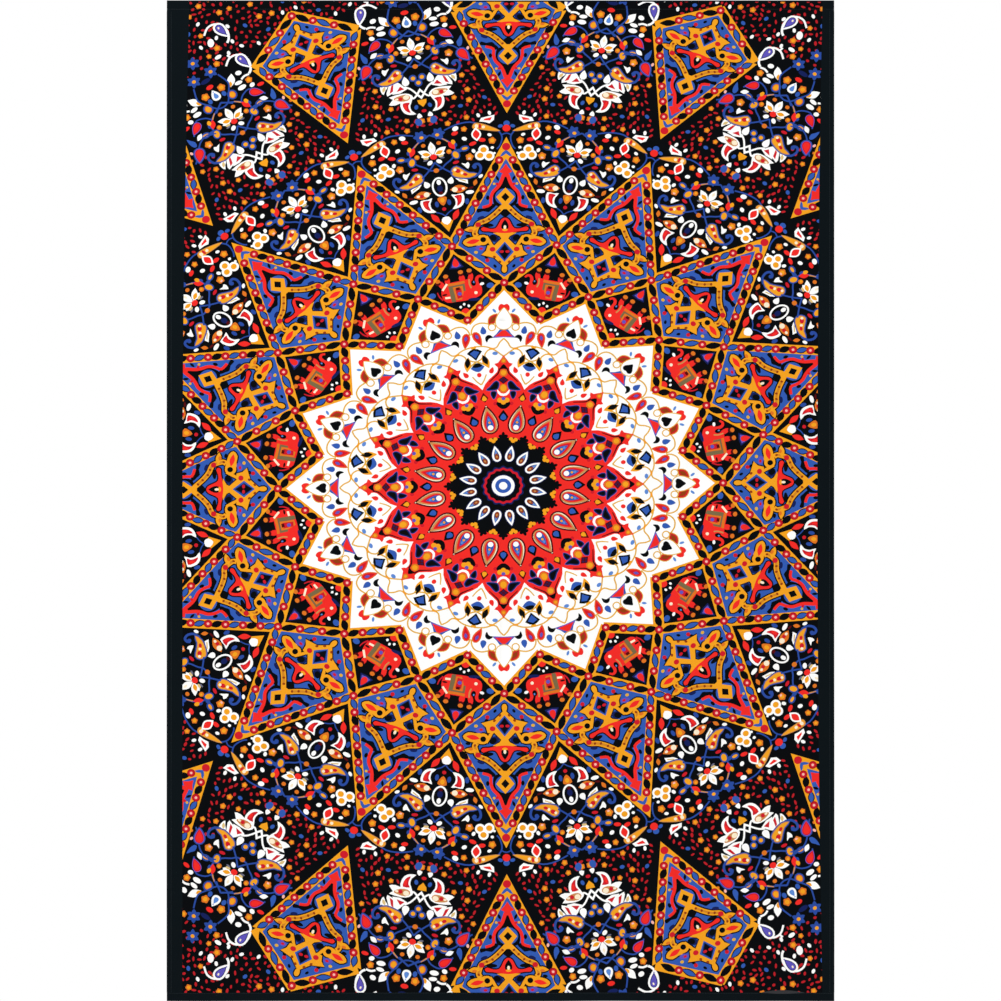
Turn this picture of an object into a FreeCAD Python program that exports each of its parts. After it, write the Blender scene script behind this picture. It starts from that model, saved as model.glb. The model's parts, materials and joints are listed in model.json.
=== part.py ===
import FreeCAD, Part

import os

# Printed cotton wall hanging with a narrow open rod sleeve along its top edge.
# Frame: X across the cloth, Y through it with the printed face towards -Y and
# the wall towards +Y, Z up. Origin: middle of the rod sleeve's tunnel.
# All sizes are in millimetres.

# Driving dimensions of the cloth
WIDTH = 1524.0
LENGTH = 2286.0
PLY = 0.5

# Rod sleeve: a flat tunnel that stands open, sewn shut along its lower seam
TUNNEL_DEPTH = 7.0
TUNNEL_STRAIGHT = 10.0
TUNNEL_TAPER = 5.0
SEAM_ALLOWANCE = 6.0

# Hinge line where the hanging cloth leaves the sleeve
FOLD_CLEARANCE = 0.5

# Double-turned hems on the other three edges
SIDE_HEM = 12.0
BOTTOM_HEM = 20.0
TURNED_PLIES = 2

# Sewing thread, lying in one row per hem
THREAD_WIDTH = 0.6
THREAD_THICKNESS = 0.3
STITCH_INSET = 2.0
BACKTACK_WIDTH = 3.0

# Blank care label caught in the left hem, on the wall side
LABEL_WIDTH = 30.0
LABEL_LENGTH = 60.0
LABEL_THICKNESS = 0.4
LABEL_HEIGHT_ABOVE_HEM = 120.0
LABEL_FREE_GAP = 0.3

# Places worked out from the dimensions above
FOLD_RADIUS_INNER = TUNNEL_DEPTH / 2
FOLD_RADIUS_OUTER = FOLD_RADIUS_INNER + PLY
FACE_FRONT = -FOLD_RADIUS_OUTER
FACE_BACK = -FOLD_RADIUS_INNER
TUNNEL_TOP = TUNNEL_STRAIGHT / 2
TUNNEL_BOTTOM = -TUNNEL_STRAIGHT / 2
TOP_EDGE = TUNNEL_TOP + FOLD_RADIUS_OUTER
BOTTOM_EDGE = TOP_EDGE - LENGTH
SEAM_TOP = TUNNEL_BOTTOM - TUNNEL_TAPER
SEAM_BOTTOM = SEAM_TOP - SEAM_ALLOWANCE
PANEL_TOP = SEAM_BOTTOM - 2 * FOLD_CLEARANCE
HEM_BACK = FACE_BACK + TURNED_PLIES * PLY
BOTTOM_HEM_TOP = BOTTOM_EDGE + BOTTOM_HEM
LEFT = -WIDTH / 2
RIGHT = WIDTH / 2


def block(low, high):
    """A box between two corners."""
    size = [b - a for a, b in zip(low, high)]
    return Part.makeBox(size[0], size[1], size[2], FreeCAD.Vector(*low))


def across(outline, left, right):
    """A closed outline of edges in the Y-Z plane, drawn out along X."""
    face = Part.Face(Part.Wire(outline))
    face.translate(FreeCAD.Vector(left, 0, 0))
    return face.extrude(FreeCAD.Vector(right - left, 0, 0))


def line(start, end):
    """A straight edge between two (y, z) points."""
    return Part.makeLine(FreeCAD.Vector(0, *start), FreeCAD.Vector(0, *end))


def half_round(start, top, end):
    """An arc edge through three (y, z) points."""
    points = [FreeCAD.Vector(0, *point) for point in (start, top, end)]
    return Part.Arc(*points).toShape()


def polygon(points):
    """Straight edges that join (y, z) points and close on the first."""
    return [line(a, b) for a, b in zip(points, points[1:] + points[:1])]


def sleeve_face():
    """Front ply of the rod sleeve, from its lower seam up to the fold."""
    return block((LEFT, FACE_FRONT, SEAM_BOTTOM), (RIGHT, FACE_BACK, TUNNEL_TOP))


def sleeve_fold():
    """Half-round fold over the top of the rod."""
    outer = half_round(
        (FACE_FRONT, TUNNEL_TOP), (0, TOP_EDGE), (FOLD_RADIUS_OUTER, TUNNEL_TOP)
    )
    inner = half_round(
        (FOLD_RADIUS_INNER, TUNNEL_TOP),
        (0, TUNNEL_TOP + FOLD_RADIUS_INNER),
        (FACE_BACK, TUNNEL_TOP),
    )
    back = line((FOLD_RADIUS_OUTER, TUNNEL_TOP), (FOLD_RADIUS_INNER, TUNNEL_TOP))
    front = line((FACE_BACK, TUNNEL_TOP), (FACE_FRONT, TUNNEL_TOP))
    return across([outer, back, inner, front], LEFT, RIGHT)


def sleeve_back():
    """Back ply of the rod sleeve behind the tunnel."""
    return block(
        (LEFT, FOLD_RADIUS_INNER, TUNNEL_BOTTOM),
        (RIGHT, FOLD_RADIUS_OUTER, TUNNEL_TOP),
    )


def sleeve_taper():
    """Back ply where it slants forward to meet the front ply at the seam."""
    points = [
        (FOLD_RADIUS_INNER, TUNNEL_BOTTOM),
        (FOLD_RADIUS_OUTER, TUNNEL_BOTTOM),
        (FACE_BACK + PLY, SEAM_TOP),
        (FACE_BACK, SEAM_TOP),
    ]
    return across(polygon(points), LEFT, RIGHT)


def sleeve_turning():
    """Raw edge of the back ply, turned under and sewn flat to the front ply."""
    return block((LEFT, FACE_BACK, SEAM_BOTTOM), (RIGHT, HEM_BACK, SEAM_TOP))


def printed_panel():
    """Single ply of printed cotton that hangs below the sleeve."""
    return block((LEFT, FACE_FRONT, BOTTOM_EDGE), (RIGHT, FACE_BACK, PANEL_TOP))


def side_hem(inner_x, outer_x):
    """Two turned plies behind one side edge of the panel."""
    low_x, high_x = sorted((inner_x, outer_x))
    return block((low_x, FACE_BACK, BOTTOM_HEM_TOP), (high_x, HEM_BACK, PANEL_TOP))


def bottom_hem():
    """Two turned plies behind the bottom edge of the panel."""
    return block((LEFT, FACE_BACK, BOTTOM_EDGE), (RIGHT, HEM_BACK, BOTTOM_HEM_TOP))


def thread_row_across(z, left, right):
    """One row of sewing thread along X, lying on the back of a hem."""
    half = THREAD_WIDTH / 2
    return block(
        (left, HEM_BACK, z - half), (right, HEM_BACK + THREAD_THICKNESS, z + half)
    )


def thread_row_down(x, bottom, top):
    """One row of sewing thread along Z, lying on the back of a hem."""
    half = THREAD_WIDTH / 2
    return block(
        (x - half, HEM_BACK, bottom), (x + half, HEM_BACK + THREAD_THICKNESS, top)
    )


def top_hem_stitching():
    """Seam that closes the rod sleeve, between its two backtacks."""
    z = SEAM_TOP - STITCH_INSET
    return thread_row_across(z, LEFT + BACKTACK_WIDTH, RIGHT - BACKTACK_WIDTH)


def backtack(outer_x, inward):
    """Dense block of reversed stitches that locks one end of the sleeve seam."""
    low_x, high_x = sorted((outer_x, outer_x + inward * BACKTACK_WIDTH))
    return block(
        (low_x, HEM_BACK, SEAM_BOTTOM + STITCH_INSET / 2),
        (high_x, HEM_BACK + THREAD_THICKNESS, SEAM_TOP - STITCH_INSET / 2),
    )


def care_label():
    """Blank ribbon label: its short top end is sewn down, the rest hangs free."""
    left = LEFT + SIDE_HEM
    bottom = BOTTOM_HEM_TOP + LABEL_HEIGHT_ABOVE_HEM
    top = bottom + LABEL_LENGTH
    sewn = block(
        (left, FACE_BACK, top - SIDE_HEM),
        (left + LABEL_WIDTH, FACE_BACK + LABEL_THICKNESS, top),
    )
    gap = FACE_BACK + LABEL_FREE_GAP
    free = block(
        (left, gap, bottom),
        (left + LABEL_WIDTH, gap + LABEL_THICKNESS, top - SIDE_HEM),
    )
    return sewn.fuse(free).removeSplitter()


def care_label_stitching():
    """Row of thread that holds the label's top end to the cloth."""
    left = LEFT + SIDE_HEM + STITCH_INSET
    right = LEFT + SIDE_HEM + LABEL_WIDTH - STITCH_INSET
    z = BOTTOM_HEM_TOP + LABEL_HEIGHT_ABOVE_HEM + LABEL_LENGTH - SIDE_HEM / 2
    back = FACE_BACK + LABEL_THICKNESS
    half = THREAD_WIDTH / 2
    return block((left, back, z - half), (right, back + THREAD_THICKNESS, z + half))


def hem_stitch_lines():
    """The rows of thread along the two side hems and the bottom hem."""
    left_x = LEFT + SIDE_HEM - STITCH_INSET
    right_x = RIGHT - SIDE_HEM + STITCH_INSET
    bottom_z = BOTTOM_HEM_TOP - STITCH_INSET
    return {
        "left_hem_stitching": thread_row_down(left_x, BOTTOM_HEM_TOP, PANEL_TOP),
        "right_hem_stitching": thread_row_down(right_x, BOTTOM_HEM_TOP, PANEL_TOP),
        "bottom_hem_stitching": thread_row_across(bottom_z, LEFT, RIGHT),
    }


def all_nodes():
    """Every separate piece of the hanging, by name."""
    nodes = {
        "sleeve_face": sleeve_face(),
        "sleeve_fold": sleeve_fold(),
        "sleeve_back": sleeve_back(),
        "sleeve_taper": sleeve_taper(),
        "sleeve_turning": sleeve_turning(),
        "top_hem_stitching": top_hem_stitching(),
        "left_backtack": backtack(LEFT, 1),
        "right_backtack": backtack(RIGHT, -1),
        "printed_panel": printed_panel(),
        "left_side_hem": side_hem(LEFT + SIDE_HEM, LEFT),
        "right_side_hem": side_hem(RIGHT - SIDE_HEM, RIGHT),
        "bottom_hem": bottom_hem(),
        "care_label": care_label(),
        "care_label_stitching": care_label_stitching(),
    }
    nodes.update(hem_stitch_lines())
    return nodes


os.makedirs("parts", exist_ok=True)
for name, shape in all_nodes().items():
    if not shape.isValid():
        raise ValueError(f"{name} is not a valid shape")
    shape.exportStep(f"parts/{name}.step")
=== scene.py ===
"""A printed cotton wall hanging on a rod sleeve: its looks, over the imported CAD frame."""

import json
import math
import random

import bmesh
import bpy
import numpy as np
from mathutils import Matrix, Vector
from mathutils.geometry import delaunay_2d_cdt


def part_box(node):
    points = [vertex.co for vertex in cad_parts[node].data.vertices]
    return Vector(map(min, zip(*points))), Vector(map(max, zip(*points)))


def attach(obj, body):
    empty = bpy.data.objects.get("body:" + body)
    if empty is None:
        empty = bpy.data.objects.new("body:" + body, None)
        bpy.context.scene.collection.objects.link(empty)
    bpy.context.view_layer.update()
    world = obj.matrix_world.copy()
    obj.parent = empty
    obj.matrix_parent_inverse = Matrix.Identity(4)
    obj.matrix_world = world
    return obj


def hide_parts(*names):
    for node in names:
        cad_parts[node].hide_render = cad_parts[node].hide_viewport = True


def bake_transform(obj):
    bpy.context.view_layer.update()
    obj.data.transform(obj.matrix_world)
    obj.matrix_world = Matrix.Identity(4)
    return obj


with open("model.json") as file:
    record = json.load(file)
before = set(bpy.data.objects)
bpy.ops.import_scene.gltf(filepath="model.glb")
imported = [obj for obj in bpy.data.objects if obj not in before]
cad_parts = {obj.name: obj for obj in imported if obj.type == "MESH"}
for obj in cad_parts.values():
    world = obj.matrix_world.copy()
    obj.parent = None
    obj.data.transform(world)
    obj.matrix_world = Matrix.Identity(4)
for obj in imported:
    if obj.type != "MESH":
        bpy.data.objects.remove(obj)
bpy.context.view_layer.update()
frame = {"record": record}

# --- Sizes, all from the frame, in metres --------------------------------------

PANEL_LOW, PANEL_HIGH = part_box("printed_panel")
FOLD_LOW, FOLD_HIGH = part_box("sleeve_fold")
BACK_LOW, BACK_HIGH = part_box("sleeve_back")
TAPER_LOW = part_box("sleeve_taper")[0]
TURNING_LOW, TURNING_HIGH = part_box("sleeve_turning")
SIDE_HEM_LOW, SIDE_HEM_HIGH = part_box("left_side_hem")
BOTTOM_HEM_LOW, BOTTOM_HEM_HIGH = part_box("bottom_hem")
LABEL_LOW, LABEL_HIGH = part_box("care_label")

WIDTH = PANEL_HIGH[0] - PANEL_LOW[0]
HALF_WIDTH = WIDTH / 2
TOP = FOLD_HIGH[2]
BOTTOM = BOTTOM_HEM_LOW[2]
LENGTH = TOP - BOTTOM
MIDDLE = (TOP + BOTTOM) / 2
FRONT = PANEL_LOW[1]
PLY = PANEL_HIGH[1] - PANEL_LOW[1]
FOLD_RADIUS = FOLD_HIGH[1]
FOLD_CENTRE = FOLD_LOW[2]
SIDE_HEM = SIDE_HEM_HIGH[0] - SIDE_HEM_LOW[0]
BOTTOM_HEM = BOTTOM_HEM_HIGH[2] - BOTTOM_HEM_LOW[2]
TURNED_DEPTH = SIDE_HEM_HIGH[1] - FRONT
HINGE_HEIGHT = frame["record"]["behaviour"]["joints"][0]["pos_m"][2]

# One print unit is a thousandth of the cloth's length.
UNIT = LENGTH / 1000
HALF_WIDTH_UNITS = HALF_WIDTH / UNIT
HALF_LENGTH_UNITS = 500.0

# Screen colours, 0 to 255.
INKS = {
    "border": (9, 17, 21),
    "black": (5, 7, 10),
    "red": (240, 44, 38),
    "crimson": (204, 28, 42),
    "ruby": (168, 16, 30),
    "maroon": (84, 10, 14),
    "amber": (243, 162, 32),
    "orange": (222, 116, 34),
    "ochre": (226, 172, 60),
    "bronze": (206, 132, 38),
    "brown": (146, 62, 18),
    "tan": (205, 140, 80),
    "sand": (222, 192, 130),
    "olive": (120, 104, 70),
    "cream": (252, 236, 206),
    "white": (255, 255, 253),
    "pink": (250, 186, 174),
    "blue": (50, 90, 176),
    "navy": (20, 32, 88),
    "lilac": (94, 84, 184),
    "sky": (92, 138, 212),
    "vine": (42, 74, 156),
    "grey": (108, 108, 128),
    "fleck": (186, 30, 38),
}


def linear(value):
    """One channel of a screen colour, 0 to 255, as linear light."""
    share = value / 255
    if share <= 0.04045:
        return share / 12.92
    return ((share + 0.055) / 1.055) ** 2.4


LINEAR_INKS = {
    name: tuple(linear(value) for value in channels) + (1.0,) for name, channels in INKS.items()
}


# --- Printed design -----------------------------------------------------------
# The print is drawn as flat shapes in painter's order. A shape is (ink, points).
# Its points are (t, r) in one of sixteen sectors: t across the sector, r out from
# the middle of the mandala, in print units of a thousandth of the cloth's length.

SECTORS = 16
SECTOR_ANGLE = 2 * math.pi / SECTORS
RING_A = 203.0
RING_B = 244.5
KITE_TIP = 347.5
KITE_SIDE = (RING_B * math.sin(SECTOR_ANGLE / 2), RING_B * math.cos(SECTOR_ANGLE / 2))
VALLEY_RADIUS = 169.2
VALLEY = (
    VALLEY_RADIUS * math.sin(SECTOR_ANGLE / 2),
    VALLEY_RADIUS * math.cos(SECTOR_ANGLE / 2),
)
OUTER_KITE_VERTEX = 511.0
OUTER_KITE_LENGTH_SHARE = 0.952
BAND_HALF_WIDTH = 5.1
DOT_RADIUS = 3.9
LENS_GAP = 1.8
LENS_SLANT = 1.9
CELL_SIDE = (39.6, 199.2)
KITE_BEADS = 6
KITE_TIP_BEADS_END = (6.2, KITE_TIP - 22.0)


def oval(t, r, half_t, half_r=None, turn=0, sides=None):
    """An ellipse; turn is in degrees, clockwise."""
    half_r = half_t if half_r is None else half_r
    sides = sides or max(8, min(40, int(5 + 2.6 * max(half_t, half_r) ** 0.8)))
    c, s = math.cos(math.radians(turn)), math.sin(math.radians(turn))
    points = []
    for i in range(sides):
        a = 2 * math.pi * (i + 0.5) / sides
        x, y = half_t * math.cos(a), half_r * math.sin(a)
        points.append((t + x * c + y * s, r - x * s + y * c))
    return points


def along(start, end, profile):
    """Points at (share of the way, offset to the side) from start to end."""
    dt, dr = end[0] - start[0], end[1] - start[1]
    length = math.hypot(dt, dr)
    nt, nr = dr / length, -dt / length
    return [
        (start[0] + dt * s + nt * w, start[1] + dr * s + nr * w) for s, w in profile
    ]


def whole(half):
    """A closed outline from its right half, which starts and ends on the axis."""
    return half + [(-t, r) for t, r in half[-2:0:-1]]


def leaf(start, end, half_width, steps=6):
    """A lens with two pointed ends."""
    side = [(i / steps, half_width * math.sin(math.pi * i / steps)) for i in range(steps)]
    back = [(1 - s, -w) for s, w in side]
    return along(start, end, side + back)


def drop(head, tip, half_width, steps=16):
    """A teardrop with a round head and a pointed tip."""
    profile = []
    for i in range(steps):
        a = 2 * math.pi * i / steps
        width = math.sin(a) * abs(math.sin(a / 2)) * 1.3 * half_width
        profile.append((0.5 + 0.5 * math.cos(a), width))
    return along(head, tip, profile)


def smooth(points, closed, steps=3):
    """More points on a smooth curve through the ones given."""
    n = len(points)
    result = []
    for i in range(n if closed else n - 1):
        p = [
            points[j % n] if closed else points[min(max(j, 0), n - 1)]
            for j in (i - 1, i, i + 1, i + 2)
        ]
        for k in range(steps):
            u = k / steps
            result.append(
                tuple(
                    0.5
                    * (
                        2 * b
                        + (c - a) * u
                        + (2 * a - 5 * b + 4 * c - d) * u * u
                        + (3 * b - a - 3 * c + d) * u**3
                    )
                    for a, b, c, d in zip(*p)
                )
            )
    if not closed:
        result.append(points[-1])
    return result


def blob(points, steps=2):
    """A closed smooth outline through the points."""
    return smooth(points, True, steps)


def ribbon(points, width, end_width=None, steps=3):
    """A stroke that follows the points and may taper."""
    end_width = width if end_width is None else end_width
    path = smooth(points, False, steps) if len(points) > 2 else list(points)
    left, right = [], []
    for i, (t, r) in enumerate(path):
        before, after = path[max(i - 1, 0)], path[min(i + 1, len(path) - 1)]
        dt, dr = after[0] - before[0], after[1] - before[1]
        length = math.hypot(dt, dr) or 1
        half = 0.5 * (width + (end_width - width) * i / (len(path) - 1))
        left.append((t - dr / length * half, r + dt / length * half))
        right.append((t + dr / length * half, r - dt / length * half))
    return left + right[::-1]


def grown(points, distance):
    """The outline moved outwards by a distance."""
    n = len(points)
    area = sum(
        points[i - 1][0] * points[i][1] - points[i][0] * points[i - 1][1]
        for i in range(n)
    )
    sign = 1 if area > 0 else -1
    result = []
    for i in range(n):
        (at, ar), (bt, br) = points[i - 1], points[(i + 1) % n]
        dt, dr = bt - at, br - ar
        length = math.hypot(dt, dr) or 1
        result.append(
            (
                points[i][0] + sign * dr / length * distance,
                points[i][1] - sign * dt / length * distance,
            )
        )
    return result


class Layer:
    """Shapes of one sector, in painter's order."""

    def __init__(self):
        self.shapes = []

    def add(self, ink, points):
        self.shapes.append((ink, points))

    def pair(self, ink, points):
        """A shape and its mirror image."""
        self.add(ink, points)
        self.add(ink, [(-t, r) for t, r in points])

    def ovals(self, *rows):
        """Ovals, each given as its ink and then what oval() takes."""
        for ink, *numbers in rows:
            self.add(ink, oval(*numbers))

    def oval_pairs(self, *rows):
        for ink, *numbers in rows:
            self.pair(ink, oval(*numbers))

    def nest(self, points, *inks):
        """Rings of ink, each given with how far it stands out from the outline."""
        for ink, distance in inks:
            self.add(ink, grown(points, distance) if distance else points)

    def nest_pair(self, points, *inks):
        for ink, distance in inks:
            self.pair(ink, grown(points, distance) if distance else points)


def band_strip(layer, a, b):
    """The amber ground of one straight beaded band."""
    w = BAND_HALF_WIDTH
    layer.add("amber", along(a, b, [(-0.04, w), (1.04, w), (1.04, -w), (-0.04, -w)]))


def band_lenses(layer, a, b, count, inks):
    """Lenses between the beads of one band."""
    for i in range(count):
        first = along(a, b, [(i / count, 0)])[0]
        second = along(a, b, [((i + 1) / count, 0)])[0]
        slanted_lens(layer, first, second, inks[i % len(inks)])


def slanted_lens(layer, first, second, ink):
    """A slanting blade between two beads, from one edge of the band to the other."""
    length = math.dist(first, second)
    gap = LENS_GAP / length
    start, end = along(first, second, [(gap, LENS_SLANT), (1 - gap, -LENS_SLANT)])
    layer.add("black", leaf(start, end, 3.3, 5))
    if ink != "black":
        inner = along(start, end, [(0.08, 0), (0.92, 0)])
        layer.add(ink, leaf(inner[0], inner[1], 2.3, 5))


def bead(layer, t, r):
    """A crimson bead with a pale centre."""
    layer.add("ruby", oval(t, r, DOT_RADIUS, sides=12))
    layer.add("crimson", oval(t, r, DOT_RADIUS * 0.72, sides=9))
    layer.add("pink", oval(t, r, DOT_RADIUS * 0.34, sides=7))


def band_beads(layer, a, b, count):
    """The beads between the two ends of a band."""
    for i in range(1, count):
        t, r = along(a, b, [(i / count, 0)])[0]
        bead(layer, t, r)


def rosette_centre():
    """Rings in the very middle, drawn once."""
    layer = Layer()
    layer.add("black", oval(0, 0, 23, sides=48))
    steps = 8 * SECTORS
    for ink, radius, wave in (("navy", 19.2, 0.9), ("crimson", 17.6, 0.6), ("black", 15.4, 0.5)):
        outline = []
        for i in range(steps):
            a = 2 * math.pi * i / steps
            reach = radius + wave * math.cos(a * SECTORS)
            outline.append((reach * math.sin(a), reach * math.cos(a)))
        layer.add(ink, outline)
    for ink, radius in (("navy", 11.2), ("white", 10.4), ("blue", 7.3), ("white", 3.8)):
        layer.add(ink, oval(0, 0, radius, sides=36))
    return layer


def rosette_ground(axis, odd):
    """The spiky edge of the black middle."""
    axis.add("black", [(0, 0), (-9.2, 45.4), (0, 46), (9.2, 45.4)])
    axis.ovals(
        ("black", 0, 51.4, 1.5, 2.6), ("black", -2.4, 49.6, 2, 1.7), ("black", 2.4, 49.6, 2, 1.7),
        ("black", 0, 47.4, 3.4, 2.6),
    )
    odd.add("black", oval(0, 45.6, 5, 3.4))


def rosette_fringe(axis, odd):
    """Petals and amber buds of the black middle."""
    petal = drop((0, 24.6), (0, 40.6), 4.2, 18)
    odd.nest(petal, ("navy", 0.7), ("white", 0))
    odd.add("navy", drop((0, 26.2), (0, 37.6), 2.4))
    odd.add("sky", drop((0, 30), (0, 37.2), 1.2, 8))
    odd.add("brown", drop((0, 26.4), (0, 33.4), 2, 10))
    odd.add("tan", oval(0, 29.6, 0.8, 1.2))
    for t, r in ((0, 45.4), (-2.1, 47.2), (2.1, 47.2)):
        odd.add("amber", oval(t, r, 2, 1.8))


def red_star(axis, odd):
    """The red sixteen-pointed star and its fruit."""
    half = [
        (0, 130.6), (2, 127.4), (3.6, 125.2), (5.2, 122.9), (8.4, 121.9), (7, 119.8),
        (5.4, 118.6), (5.2, 116.4), (6, 113.8), (9.5, 110), (13.2, 106.4),
        (16.6, 101.8), (19.2, 95.4), (9.6, 48),
    ]
    axis.add("red", half + [(-t, r) for t, r in half[:0:-1]])
    axis.pair("maroon", ribbon([(3.6, 117.4), (4.8, 112.6), (8.6, 108.4), (13, 103.8)], 1.7, 0.8))


def red_star_fruit(axis, odd):
    """Motifs on the red star."""
    fruit = drop((0, 52.6), (0, 82.6), 8.3, 24)
    odd.nest(fruit, ("maroon", 0), ("cream", -1.5))
    odd.add("tan", drop((0.5, 54), (0, 80), 6.1, 20))
    odd.add("red", drop((0, 55.2), (0, 76.4), 5, 18))
    odd.add("crimson", drop((0, 55.6), (0, 74), 4.1, 16))
    odd.add("blue", drop((0, 56.4), (0, 71.4), 3.3, 14))
    odd.ovals(("white", 0, 59.3, 2.6), ("amber", 0, 64.4, 1.2), ("sky", 0, 67.2, 1.2, 1.6))
    bud = [(0, 64), (3.2, 66), (4.7, 69), (2.8, 72.2), (0, 76)]
    axis.add("black", whole(bud))
    axis.add("blue", drop((0, 65.8), (0, 72.4), 2.8, 12))
    axis.pair("crimson", oval(7.4, 82.2, 1.8))
    horn = blob([(0, 76.8), (3.4, 78), (6.4, 81.4), (5.6, 83.8), (3.6, 83), (0, 81.6)])
    axis.pair("black", horn)
    for t, r in ((0, 83.6), (-3.2, 85.6), (3.2, 85.6)):
        axis.add("amber", oval(t, r, 2.5))
    axis.add("lilac", oval(0, 87.2, 1.8))
    cup = [(6.2, 97.2), (5.2, 92.6), (2.8, 90.2), (0, 89.6)]
    rim = [(0, 92), (2.2, 92.6), (4, 94.6)]
    outline = cup + [(-t, r) for t, r in cup[-2::-1] + rim[::-1]] + rim[1:]
    axis.add("white", outline)
    axis.ovals(("orange", 0, 97.4, 3.8, 4.4), ("amber", 0, 97.8, 2.8, 3.2))
    large = blob([
        (4.4, 102.8), (6.6, 104.6), (9.4, 102.2), (12, 98.8), (15.4, 95.8), (10.4, 95.8), (6, 96.6),
        (4.6, 99.2),
    ])
    axis.nest_pair(large, ("blue", 0.8), ("navy", 0.3), ("black", -0.7))
    small = blob([(6.4, 93.6), (9, 94.4), (11.2, 93.6), (11, 90.4), (8.8, 86.8), (7, 89.8)])
    axis.nest_pair(small, ("blue", 0.6), ("navy", 0.2), ("black", -0.7))
    axis.add("maroon", [(0, 101.8), (4.8, 105.6), (0, 109.6), (-4.8, 105.6)])
    for t, r in ((-2, 105.7), (2, 105.7), (0, 107.4), (0, 104)):
        axis.add("navy", oval(t, r, 0.9))
    axis.ovals(("orange", 0, 112.8, 3.7), ("amber", 0, 113, 2.5))
    axis.add("black", blob([
        (-3.4, 116.4), (0, 117), (3.4, 116.4), (2.6, 118.8), (0, 121.6), (-2.6, 118.8),
    ]))
    axis.add("orange", drop((0, 122.4), (0, 129), 2.6, 10))
    axis.add("amber", oval(0, 125, 1.4))
    gem = [(0, 85), (3.8, 88.8), (2.2, 91.4), (0, 95), (-2.2, 91.4), (-3.8, 88.8)]
    odd.add("maroon", gem)
    odd.add("amber", drop((0, 86.4), (0, 92), 2.3, 10))


def white_star_ground(axis, odd):
    """The white star under all that is drawn on it."""
    t, r = VALLEY
    axis.add("white", [(0, 100), (t, r), (0, RING_A), (-t, r)])
    axis.add("white", [(19.5, 95), (t, r), (-t, r), (-19.5, 95)])
    axis.add("white", [(9, 60), (t, r), (-t, r), (-9, 60)])


def white_star_lines(axis, odd):
    """Thin amber scrolls on the white star."""
    line = 1.35
    axis.pair("ochre", ribbon([(0.4, 129.6), (4.8, 133.2), (10.4, 137), (18, 139.4), (27, 139)], line))
    axis.pair("ochre", ribbon([(10.4, 137), (14.4, 135.4), (17, 131.4), (16.6, 128.6)], line))
    axis.pair("ochre", ribbon([(10.4, 137), (6.4, 138.4), (3.6, 143.4), (0, 147.2)], line))
    axis.pair("amber", oval(10.8, 137, 2.6, 1.1))
    axis.pair("ochre", ribbon([
        (13.6, 161.8), (20.4, 162.8), (26.4, 160.6), (29.2, 155.6), (29.3, 150.6),
    ], line))
    odd.add("amber", oval(0, 140.6, 2.6, 1.4))
    odd.pair("ochre", ribbon([(0, 126.4), (3.2, 127.4), (6.4, 129.4)], line))
    odd.pair("ochre", ribbon([(0, 126.4), (4.2, 124.2), (7.4, 121.4)], line))
    odd.pair("ochre", ribbon([(0, 103), (3.4, 107), (6.4, 112.4)], 1.4, 1))


def white_star_spade(filled):
    """The drop in a white tip; the top and bottom ones are left empty."""
    layer = Layer()
    heart = drop((0, 156.4), (0, 178), 7.3, 20)
    layer.nest(heart, ("ochre", 0.9), ("white", 0))
    if filled:
        spade = [(0, 169), (2.2, 166.4), (4.6, 163.4), (4.8, 160.6), (2.6, 159.2), (0, 159.8)]
        layer.add("black", blob(whole(spade)))
    crown = [(0, 180.8), (2.6, 181.8), (4.8, 179.8), (5.2, 176.6), (4, 174.6), (2, 177), (0, 178.2)]
    layer.add("red", blob(whole(crown)))
    return layer


def white_star_fruit(axis, odd):
    """Coloured motifs on the white star."""
    gem = [(0, 139.8), (3.4, 138.8), (7, 136), (3.2, 131.8), (0, 127.6)]
    core = [(0, 138), (4.4, 135.6), (0, 130)]
    odd.add("black", whole(gem))
    odd.add("blue", whole(core))
    odd.pair("amber", leaf((6.4, 132.6), (10.2, 117.8), 3.2))
    odd.pair("black", leaf((6.8, 132), (9.4, 121.6), 2.5))
    odd.add("blue", leaf((-6.4, 120.6), (6.4, 120.6), 4.4, 8))
    odd.add("black", blob([
        (-4.8, 121.8), (-2.6, 124.4), (0, 125.2), (2.6, 124.4), (4.8, 121.8), (0, 120.6),
    ]))
    odd.add("red", oval(0, 113, 2.1, 2.3))
    odd.pair("red", drop((10.4, 112.6), (13.8, 118.4), 2.2, 12))
    odd.pair("sky", oval(18.2, 131.4, 2.6, 1.8, 10))
    inner = drop((3.4, 155.6), (7.6, 141.6), 3.4, 14)
    odd.nest_pair(inner, ("orange", 0.5), ("red", -0.3), ("crimson", -1.2))
    odd.pair("lilac", leaf((4.2, 153.4), (6, 148.4), 1.4))
    axis.pair("sky", oval(8.8, 175, 1.2, 2.4, 40))
    cheek = leaf((6.4, 171.8), (13.8, 160.8), 3.6)
    axis.nest_pair(cheek, ("ochre", 0.8), ("crimson", 0), ("brown", -1.6))
    ring = oval(10.8, 158.4, 3.7)
    axis.nest_pair(ring, ("ochre", 0.2), ("white", -0.9))
    boat = [(-10.8, 147.8), (-6.6, 152), (-3.4, 156.9), (3.4, 156.9), (6.6, 152), (10.8, 147.8), (0, 148.4)]
    axis.add("blue", boat)
    axis.add("lilac", [(-10.4, 148), (-7.4, 150.4), (7.4, 150.4), (10.4, 148), (0, 148.4)])
    axis.add("red", [(-8, 149.2), (-3.4, 153.6), (-1.4, 155.4), (1.4, 155.4), (3.4, 153.6), (8, 149.2)])
    curl = [
        (9.6, 148.2), (12.6, 150.8), (15.6, 150.2), (17, 147.2), (15.4, 143.2), (14.2, 145.8),
        (12.6, 147.4),
    ]
    axis.pair("black", blob(curl))
    axis.pair("blue", drop((18.2, 151.4), (19.4, 159.6), 2.8, 12))


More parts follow.
